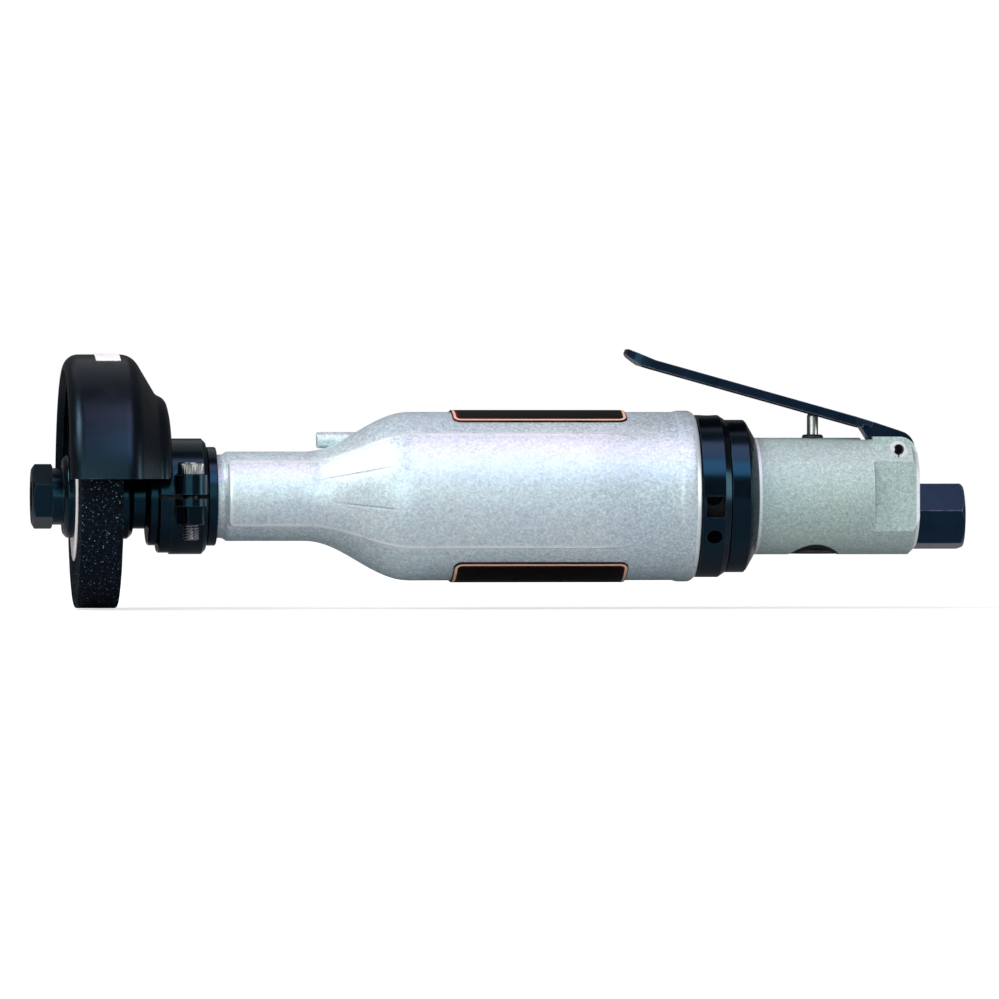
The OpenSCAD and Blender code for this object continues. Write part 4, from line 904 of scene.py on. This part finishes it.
def thread_mesh(name, x0, x1, root, height, pitch, drop):
    """Thread ridge: radius root + height of a triangle wave of (x / pitch - turn), fading at its ends.

    A plain skin 0.4 mm behind the root closes it. A negative height stands inward, in a bore. drop
    lowers the thread's axis.
    """
    columns = 64
    rows = int((x1 - x0) / pitch * 14) + 1
    x = np.linspace(x0, x1, rows)[:, None]
    turn = turn_angles(columns)[None, :]
    wave = np.mod((x - x0) / pitch - turn / (2 * np.pi), 1.0)
    tooth = np.clip(1.35 - 2.7 * np.abs(wave - 0.5), 0.0, 1.0)
    fade = np.clip(np.minimum(x - x0, x1 - x) / (0.6 * pitch), 0.0, 1.0)
    skin = root + height * tooth * fade
    behind = np.full_like(skin, root - math.copysign(0.4, height))
    points = np.concatenate([around(x, skin, turn), around(x[::-1], behind, turn)])
    points = points - np.array([0.0, 0.0, drop])
    return mesh_from(name, points, quads(2 * rows, columns, True, True), 50.0)


class GRINDER_OT_front(bpy.types.Operator):
    """Front cap, flanges, blotter and wheel nut, and the end of the spindle in it"""

    bl_idname = "grinder.front"
    bl_label = "Cap, flanges and nut"

    THREAD_ROOT_R = 4.2
    THREAD_HEIGHT = 0.5
    THREAD_PITCH = 1.6

    def execute(self, context):
        edge = context.scene.grinder_rear.edge
        softened("front_cap", "case", "black_oxide", edge)
        for node in ("inner_flange", "outer_flange", "wheel_nut"):
            softened(node, "spindle", "black_oxide", edge)
        softened("spindle", "spindle", "black_oxide", 0.2)
        dress("label_paper", "wheel_label")
        x0, _ = ends("spindle")
        data = thread_mesh(
            "spindle_thread", x0 + 1.0, x0 + 4.0, self.THREAD_ROOT_R, self.THREAD_HEIGHT,
            self.THREAD_PITCH, 0.0)
        piece("spindle_thread", data, "spindle", "black_oxide")
        return {"FINISHED"}


class GRINDER_OT_wheel(bpy.types.Operator):
    """Grinding wheel with a gritty rim"""

    bl_idname = "grinder.wheel"
    bl_label = "Wheel"

    BORE_R = 4.9
    LABEL_R = 12.0
    RIM_DEPTH = 0.15
    GRIT_SEED = 11

    def profile(self, x0, x1, rim_r):
        """Closed outline (x, r): bore, front side, rim and back side, each with many points."""
        outline = rounded([
            (x0, self.BORE_R, 0.2), (x0, rim_r, 0.9), (x1, rim_r, 0.9), (x1, self.BORE_R, 0.2)], 6)
        bore_front, rim_front, rim_back, bore_back = outline.reshape(4, -1, 2)
        rim = np.linspace(x0 + 1.0, x1 - 1.0, 22)
        out = np.linspace(self.LABEL_R - 1.0, rim_r - 1.0, 40)
        front = np.stack([np.full_like(out, x0), out], axis=1)
        back = np.stack([np.full_like(out, x1), out[::-1]], axis=1)
        tread = np.stack([rim, np.full_like(rim, rim_r)], axis=1)
        return np.concatenate([bore_front, front, rim_front, tread, rim_back, back, bore_back])

    def execute(self, context):
        height = context.scene.grinder_front.grain_height
        x0, x1 = ends("grinding_wheel")
        low, high = tool_box("grinding_wheel")
        rim_r = (high[2] - low[2]) / 2 - self.RIM_DEPTH
        profile = self.profile(x0, x1, rim_r)
        columns = 420
        x = np.repeat(profile[:, 0:1], columns, axis=1)
        r = np.repeat(profile[:, 1:2], columns, axis=1)
        rough = np.random.default_rng(self.GRIT_SEED).random(x.shape) ** 1.6
        worn = smooth(r - self.LABEL_R)
        side = x - (x0 + x1) / 2
        out = np.clip((np.abs(side) - (x1 - x0) / 2 + 0.6) / 0.6, 0.0, 1.0) * np.sign(side)
        round_out = smooth((r - rim_r + 0.75) / 0.5)
        x = x - out * height * 0.7 * rough * worn
        r = r - height * rough * round_out + 0.12 * round_out
        points = around(x, r, turn_angles(columns)[None, :])
        data = mesh_from("wheel_grit", points, quads(len(profile), columns, True, True), 180.0)
        piece("wheel_grit", data, "spindle", "abrasive", ("grinding_wheel",))
        return {"FINISHED"}


class GRINDER_OT_guard(bpy.types.Operator):
    """Half guard pressed from one sheet, with its bare sticker"""

    bl_idname = "grinder.guard"
    bl_label = "Guard"

    WALL = 2.3

    def execute(self, context):
        outer, inner = self.outlines(context.scene.grinder_front.lip_radius)
        profile = np.concatenate([outer, inner[::-1]])
        cut_z = tool_box("wheel_guard")[0][2]
        start = np.arcsin(cut_z / profile[:, 1:2])
        angles = start + (np.pi - 2 * start) * np.linspace(0.0, 1.0, 121)[None, :]
        rows, columns = angles.shape
        i = np.arange(len(outer) - 1)
        facing = rows - 1 - i
        cut = np.stack([i, i + 1, facing - 1, facing], axis=-1) * columns
        faces = np.concatenate([quads(rows, columns, True, False), cut, cut + columns - 1])
        data = mesh_from("guard_shell", around(profile[:, 0:1], profile[:, 1:2], angles), faces, 40.0)
        obj = piece("guard_shell", data, "guard", "guard_black", ("wheel_guard",))
        bevelled(obj, "cut edge", 0.35, 60.0)
        dress("label_paper", "guard_sticker")
        return {"FINISHED"}

    def outlines(self, lip):
        """Outer and inner side of the sheet, both (x, r) with the same number of points.

        The middle line of the sheet is a rolled lip, the band, a cone and the stepped back plate
        with rounded corners. Both sides are that line moved half a wall along its normal.
        """
        mouth, back = ends("wheel_guard")
        half_wall = self.WALL / 2
        band_r = tool_box("wheel_guard")[1][2] - half_wall
        turn = lip - half_wall
        a = np.linspace(-np.pi / 2, 0.0, 14)
        roll = np.stack([mouth + lip + turn * np.sin(a), band_r - turn + turn * np.cos(a)], axis=1)
        line = rounded([
            (mouth + lip + 0.5, band_r, 0.3), (back - 12.0, band_r, 3.0), (back - 5.0, 29.6, 1.5),
            (back - 2.3, 28.4, 1.3), (back - 1.5, 25.0, 0.7), (back - 1.2, 17.0, 0.1),
            (back - 40.0, 10.0, 0.1)], 9)[9:-9]
        line = np.concatenate([roll, line[line[:, 0] > mouth + lip + 0.6]])
        tangent = np.gradient(line, axis=0)
        tangent /= np.linalg.norm(tangent, axis=1)[:, None]
        normal = np.stack([-tangent[:, 1], tangent[:, 0]], axis=1)
        return line + normal * half_wall, line - normal * half_wall


class GRINDER_OT_clamp(bpy.types.Operator):
    """Guard collar with its knurled clamp screw and nut"""

    bl_idname = "grinder.clamp"
    bl_label = "Guard clamp"

    HEAD_LEN = 3.8
    HEAD_R = 3.9
    SHANK_R = 2.5
    PITCH = 0.8
    THREAD_DEPTH = 0.34
    KNURL_DEPTH = 0.22
    SOCKET_FLAT = 2.0
    SOCKET_DEPTH = 2.6

    def execute(self, context):
        softened("guard_collar", "guard", "black_oxide", context.scene.grinder_rear.edge)
        softened("clamp_nut", "guard", "black_oxide", 0.2)
        self.screw(context.scene.grinder_front.knurl_count)
        return {"FINISHED"}

    def screw(self, teeth):
        """Upright screw: radius of the outline less teeth that are a triangle wave of the turn.

        The same wave wound along the shank makes the thread. The hexagon socket is the outline's
        inner side, its radius the flat's distance / cos of the turn from the nearest flat.
        """
        low, high = tool_box("clamp_screw")
        z0, z1 = low[2], high[2]
        head = z1 - self.HEAD_LEN
        shank = np.arange(z0 + 0.6, head, 0.08)
        tip = rounded([
            (z0, 0.2, 0.05), (z0, 2.0, 0.1), (z0 + 0.5, self.SHANK_R, 0.1),
            (z0 + 0.6, self.SHANK_R, 0.0001)])[:-2]
        body = np.stack([shank, np.full_like(shank, self.SHANK_R)], axis=1)
        top = rounded([
            (head, self.SHANK_R, 0.01), (head, self.HEAD_R, 0.25), (z1 - 0.5, self.HEAD_R, 0.25),
            (z1, 3.5, 0.2), (z1, 2.45, 0.15), (z1 - self.SOCKET_DEPTH, 2.3, 0.1),
            (z1 - self.SOCKET_DEPTH - 0.2, 0.2, 0.05)], 5)
        profile = np.concatenate([tip, body, top])
        up, r = profile[:, 0:1], profile[:, 1:2]
        columns = teeth * 8
        turn = turn_angles(columns)[None, :]
        knurl = np.abs(np.mod(turn * teeth / (2 * np.pi), 1.0) - 0.5) * 2
        thread = np.abs(np.mod(up / self.PITCH - turn / (2 * np.pi), 1.0) - 0.5) * 2
        on_head = (up > head + 0.25) & (up < z1 - 0.45) & (r > 3.7)
        in_socket = (up > z1 - self.SOCKET_DEPTH - 0.15) & (r < 2.6) & (r > 1.9)
        on_shank = (up > z0 + 0.4) & (up < head - 1.0) & (r < 2.6) & ~in_socket
        skin = r - on_head * self.KNURL_DEPTH * knurl - on_shank * self.THREAD_DEPTH * thread
        skin = np.where(in_socket, self.SOCKET_FLAT / np.cos(from_flat(turn)), skin)
        points = upright((low + high) / 2, skin, up, turn)
        data = mesh_from("clamp_screw_knurled", points, quads(len(profile), columns, True, True), 40.0)
        piece("clamp_screw_knurled", data, "guard", "zinc", ("clamp_screw",))


class GRINDER_OT_rings(bpy.types.Operator):
    """Exhaust ring with its openings, and the rear ring"""

    bl_idname = "grinder.rings"
    bl_label = "Rings"

    def execute(self, context):
        edge = context.scene.grinder_rear.edge
        softened("exhaust_ring", "exhaust", "black_oxide", edge)
        softened("rear_ring", "case", "black_oxide", edge)
        return {"FINISHED"}


class GRINDER_OT_throttle(bpy.types.Operator):
    """Throttle body, its valve, the lever and its pin"""

    bl_idname = "grinder.throttle"
    bl_label = "Throttle"

    PLUG_HEAD_R = 7.4
    PLUG_SOCKET_R = 3.4

    def execute(self, context):
        edge = context.scene.grinder_rear.edge
        softened("throttle_body", "case", "cast_green", edge + 0.15)
        softened("stem_bush", "case", "rubber_black", 0.3)
        self.plug()
        softened("throttle_lever", "lever", "blued_steel", 0.55, segments=3)
        dress("pin_steel", "lever_pin")
        dress("machined_steel", "valve_stem")
        return {"FINISHED"}

    def plug(self):
        """Valve plug: a closed outline turned upright, its head filling the recess of the body, black as painted
        shade where the recess would be dark.

        Its socket is the outline's inner side, the radius 1 / cos of the turn from a flat.
        """
        low, high = tool_box("valve_plug")
        z0, z1 = low[2], high[2]
        shank_r = (high[0] - low[0]) / 2
        face = z0 - 1.2
        floor = z0 + 1.2
        profile = rounded([
            (z1, 0.2, 0.05), (z1, shank_r, 0.1), (z0, shank_r, 0.1), (z0, self.PLUG_HEAD_R, 0.1),
            (face, self.PLUG_HEAD_R, 0.5), (face, self.PLUG_SOCKET_R, 0.2),
            (floor, self.PLUG_SOCKET_R, 0.1), (floor, 0.2, 0.05)])
        turn = turn_angles(96)[None, :]
        up, r = profile[:, 0:1], profile[:, 1:2]
        socket = (up < floor + 0.05) & (np.abs(r - self.PLUG_SOCKET_R) < 0.3)
        hexagon = r * math.cos(math.pi / 6) / np.cos(from_flat(turn))
        skin = np.where(socket, hexagon, r * np.ones_like(turn))
        points = upright((low + high) / 2, skin, up, turn)
        data = mesh_from("valve_plug_head_shade", points, quads(len(profile), 96, True, True))
        # Black head in the recess: painted shade standing for the dark recess
        piece("valve_plug_head_shade", data, "case", "rubber_black", ("valve_plug",))


class GRINDER_OT_inlet(bpy.types.Operator):
    """Air inlet bushing with its pipe thread, and the screen inside"""

    bl_idname = "grinder.inlet"
    bl_label = "Air inlet"

    BORE_R = 5.7
    THREAD_HEIGHT = 0.55

    def execute(self, context):
        size = context.scene.grinder_rear
        softened("inlet_bushing", "case", "blued_steel", size.edge)
        _, mouth = ends("inlet_bushing")
        data = thread_mesh(
            "inlet_thread", mouth - 11.5, mouth - 0.6, self.BORE_R, -self.THREAD_HEIGHT,
            size.thread_pitch, INLET_DROP)
        piece("inlet_thread", data, "case", "blued_steel")
        dress("brass", "inlet_screen")
        return {"FINISHED"}


class GRINDER_OT_insides(bpy.types.Operator):
    """Finishes of the bearings, air motor and valve inside, and the wire of the valve spring"""

    bl_idname = "grinder.insides"
    bl_label = "Insides"

    SPRING_TURNS = 4
    WIRE_R = 0.35
    WIRE_SIDES = 12

    def execute(self, context):
        for slot in frame["record"]["materials"]:
            finish(slot["slot"])
        dress("rubber_black", "shaft_seal", "valve_disc", "plug_seal")
        dress("bearing_steel", *(n for n in frame["nodes"] if "bearing" in n))
        dress("phenolic", *(n for n in frame["nodes"] if n.startswith("vane")))
        dress("brass", "valve_seat")
        dress(
            "machined_steel", "drive_coupling", "front_end_plate", "cylinder_liner", "rear_end_plate",
            "dowel", "rotor")
        self.spring()
        return {"FINISHED"}

    def spring(self):
        """Valve spring: round wire whose middle climbs a helix at an even pitch, its ends capped.
        """
        low, high = tool_box("valve_spring")
        climb = np.linspace(0.0, 1.0, 48 * self.SPRING_TURNS + 1)[:, None]
        turn = 2 * np.pi * self.SPRING_TURNS * climb
        wire = turn_angles(self.WIRE_SIDES)[None, :]
        coil_r = (high[0] - low[0]) / 2 - self.WIRE_R
        first, last = low[2] + self.WIRE_R, high[2] - self.WIRE_R
        up = first + (last - first) * climb + self.WIRE_R * np.sin(wire)
        points = upright((low + high) / 2, coil_r + self.WIRE_R * np.cos(wire), up, turn)
        cap = np.array([[0, k, k + 1, k + 2] for k in range(1, self.WIRE_SIDES - 1, 2)])
        end = (len(climb) - 1) * self.WIRE_SIDES
        faces = np.concatenate([quads(len(climb), self.WIRE_SIDES, False, True), cap, cap + end])
        data = mesh_from("valve_spring_wire", points, faces)
        obj = piece("valve_spring_wire", data, "case", "machined_steel", ("valve_spring",))
        low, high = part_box("valve_spring")
        push = next(j for j in frame["joints"] if j["name"] == "valve_push")
        keep = 1.0 - push["range_m"][1] / (high[2] - low[2])
        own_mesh(obj)


class GRINDER_OT_stage(bpy.types.Operator):
    """Pale floor, plain soft light and the camera"""

    bl_idname = "grinder.stage"
    bl_label = "Stage"

    CAMERA_AIM = np.array([-0.1400, 0.0, 0.0051])
    LAMP_AIM = np.array([-0.14, 0.0, 0.0])
    FLOOR_GAP = 0.4 * MM
    FLOOR_HALF = 6.0
    # Name, place, power in watts, width in metres and colour
    LAMPS = (
        ("front softbox", (-0.05, -0.64, 0.58), 1.9, 0.34, (0.66, 0.72, 1.0)),
        ("key lamp", (-0.04, -0.32, 0.78), 1.8, 0.40, (1.0, 0.62, 0.84)),
        ("side lamp", (-0.80, -0.28, 0.68), 6.0, 0.4, (1.0, 0.93, 0.98)),
        ("left fill", (-0.50, -0.90, 0.11), 4.8, 0.8, (0.90, 1.0, 0.94)),
        ("right lamp", (0.95, -0.34, 0.16), 4.0, 0.5, (0.98, 1.0, 0.95)),
        ("back lamp", (-0.30, 0.50, 0.80), 0.8, 0.8, (1.0, 0.97, 0.98)),
    )

    def execute(self, context):
        self.camera(context.scene.grinder_stage)
        self.floor()
        self.world()
        self.lamps()
        context.scene.view_settings.view_transform = "Standard"
        return {"FINISHED"}

    def camera(self, size):
        """Camera on a sphere round the aim, at the photograph's angle."""
        turn, rise = math.radians(size.azimuth), math.radians(size.elevation)
        back = np.array([
            -math.sin(turn) * math.cos(rise), -math.cos(turn) * math.cos(rise), math.sin(rise)])
        data = bpy.data.cameras.new("camera")
        data.lens = size.lens
        data.sensor_width = 36.0
        data.clip_end = 20.0
        camera = linked("camera", data)
        camera.location = self.CAMERA_AIM + back * size.distance
        camera.rotation_euler = (math.pi / 2 - rise, 0.0, -turn)
        bpy.context.scene.camera = camera

    def floor(self):
        """Flat floor just under the wheel: a lit diffuse skin that is white to the camera far away."""
        low = CAD_BOX[0][2] - self.FLOOR_GAP
        middle = ((CAD_BOX[0][0] + CAD_BOX[1][0]) / 2, 0.0, low)
        half = self.FLOOR_HALF
        corners = [(-half, -half, low), (half, -half, low), (half, half, low), (-half, half, low)]
        data = bpy.data.meshes.new("floor")
        data.from_pydata(corners, [], [(0, 1, 2, 3)])
        f = Finish("floor_white")
        grey = f.mix(f.noise(9.0), (0.50, 0.50, 0.50), (0.52, 0.52, 0.52))
        lit = f.add("ShaderNodeBsdfDiffuse", {}, {"Color": grey}, "BSDF")
        white = f.add("ShaderNodeEmission", {}, {"Color": WHITE, "Strength": 1.0}, "Emission")
        none = f.add("ShaderNodeEmission", {}, {"Strength": 0.0}, "Emission")
        far = f.ramp(f.from_line(middle, (1.0, 1.0, 0.0)), 0.15, 0.42)
        bright = f.ray("Is Camera Ray") * (0.68 + far * 0.32)
        glow = f.add("ShaderNodeMixShader", {}, {0: bright, 1: none, 2: white}, "Shader")
        both = f.add("ShaderNodeAddShader", {}, {0: lit, 1: glow}, "Shader")
        f.add("ShaderNodeOutputMaterial", {}, {"Surface": both})
        data.materials.append(f.material)
        linked("floor", data)

    def world(self):
        """Even dim light from all round, that is white to the camera."""
        f = Finish("studio", "worlds")
        seen = f.ray("Is Camera Ray")
        seen = seen.maths("MAXIMUM", seen, f.ray("Is Transmission Ray"))
        dim = f.add("ShaderNodeBackground", {}, {"Color": (0.96, 0.98, 1.0, 1.0), "Strength": 0.10})
        white = f.add("ShaderNodeBackground", {}, {"Color": WHITE, "Strength": 1.0})
        both = f.add("ShaderNodeMixShader", {}, {0: seen, 1: dim, 2: white})
        f.add("ShaderNodeOutputWorld", {}, {"Surface": both})
        bpy.context.scene.world = f.material

    def lamps(self):
        """Five soft lamps in front and one behind, all turned to the middle of the grinder."""
        for name, place, watts, width, colour in self.LAMPS:
            data = bpy.data.lights.new(name, "AREA")
            data.energy = watts
            data.size = width
            data.color = colour
            lamp = linked(name, data)
            lamp.location = place
            aim = self.LAMP_AIM - np.array(place)
            rise = math.atan2(aim[2], math.hypot(aim[0], aim[1]))
            lamp.rotation_euler = (math.pi / 2 + rise, 0.0, math.atan2(aim[1], aim[0]) - math.pi / 2)


class GRINDER_PT_panel(bpy.types.Panel):
    """Buttons for the pieces, and their sizes and colours"""

    bl_idname = "GRINDER_PT_panel"
    bl_label = "Straight grinder"
    bl_space_type = "VIEW_3D"
    bl_region_type = "UI"
    bl_category = "Grinder"

    def draw(self, context):
        for group in (
                context.scene.grinder_case, context.scene.grinder_front, context.scene.grinder_rear,
                context.scene.grinder_look, context.scene.grinder_stage):
            box = self.layout.box()
            for key in group.bl_rna.properties.keys():
                if key not in ("rna_type", "name"):
                    box.prop(group, key)
        for operator in OPERATORS:
            self.layout.operator(operator.bl_idname)


GROUPS = {
    "grinder_case": GrinderCase,
    "grinder_front": GrinderFront,
    "grinder_rear": GrinderRear,
    "grinder_look": GrinderLook,
    "grinder_stage": GrinderStage,
}
OPERATORS = (
    GRINDER_OT_stage, GRINDER_OT_case, GRINDER_OT_plates, GRINDER_OT_front, GRINDER_OT_wheel,
    GRINDER_OT_guard, GRINDER_OT_clamp, GRINDER_OT_rings, GRINDER_OT_throttle, GRINDER_OT_inlet,
    GRINDER_OT_insides)


def register():
    for name, group in GROUPS.items():
        bpy.utils.register_class(group)
        setattr(bpy.types.Scene, name, bpy.props.PointerProperty(type=group))
    for operator in OPERATORS:
        bpy.utils.register_class(operator)
    bpy.utils.register_class(GRINDER_PT_panel)


def unregister():
    bpy.utils.unregister_class(GRINDER_PT_panel)
    for operator in reversed(OPERATORS):
        bpy.utils.unregister_class(operator)
    for name, group in reversed(GROUPS.items()):
        delattr(bpy.types.Scene, name)
        bpy.utils.unregister_class(group)


def main():
    register()
    bpy.ops.grinder.stage()
    bpy.ops.grinder.case()
    bpy.ops.grinder.plates()
    bpy.ops.grinder.front()
    bpy.ops.grinder.wheel()
    bpy.ops.grinder.guard()
    bpy.ops.grinder.clamp()
    bpy.ops.grinder.rings()
    bpy.ops.grinder.throttle()
    bpy.ops.grinder.inlet()
    bpy.ops.grinder.insides()


if __name__ == "__main__":
    main()
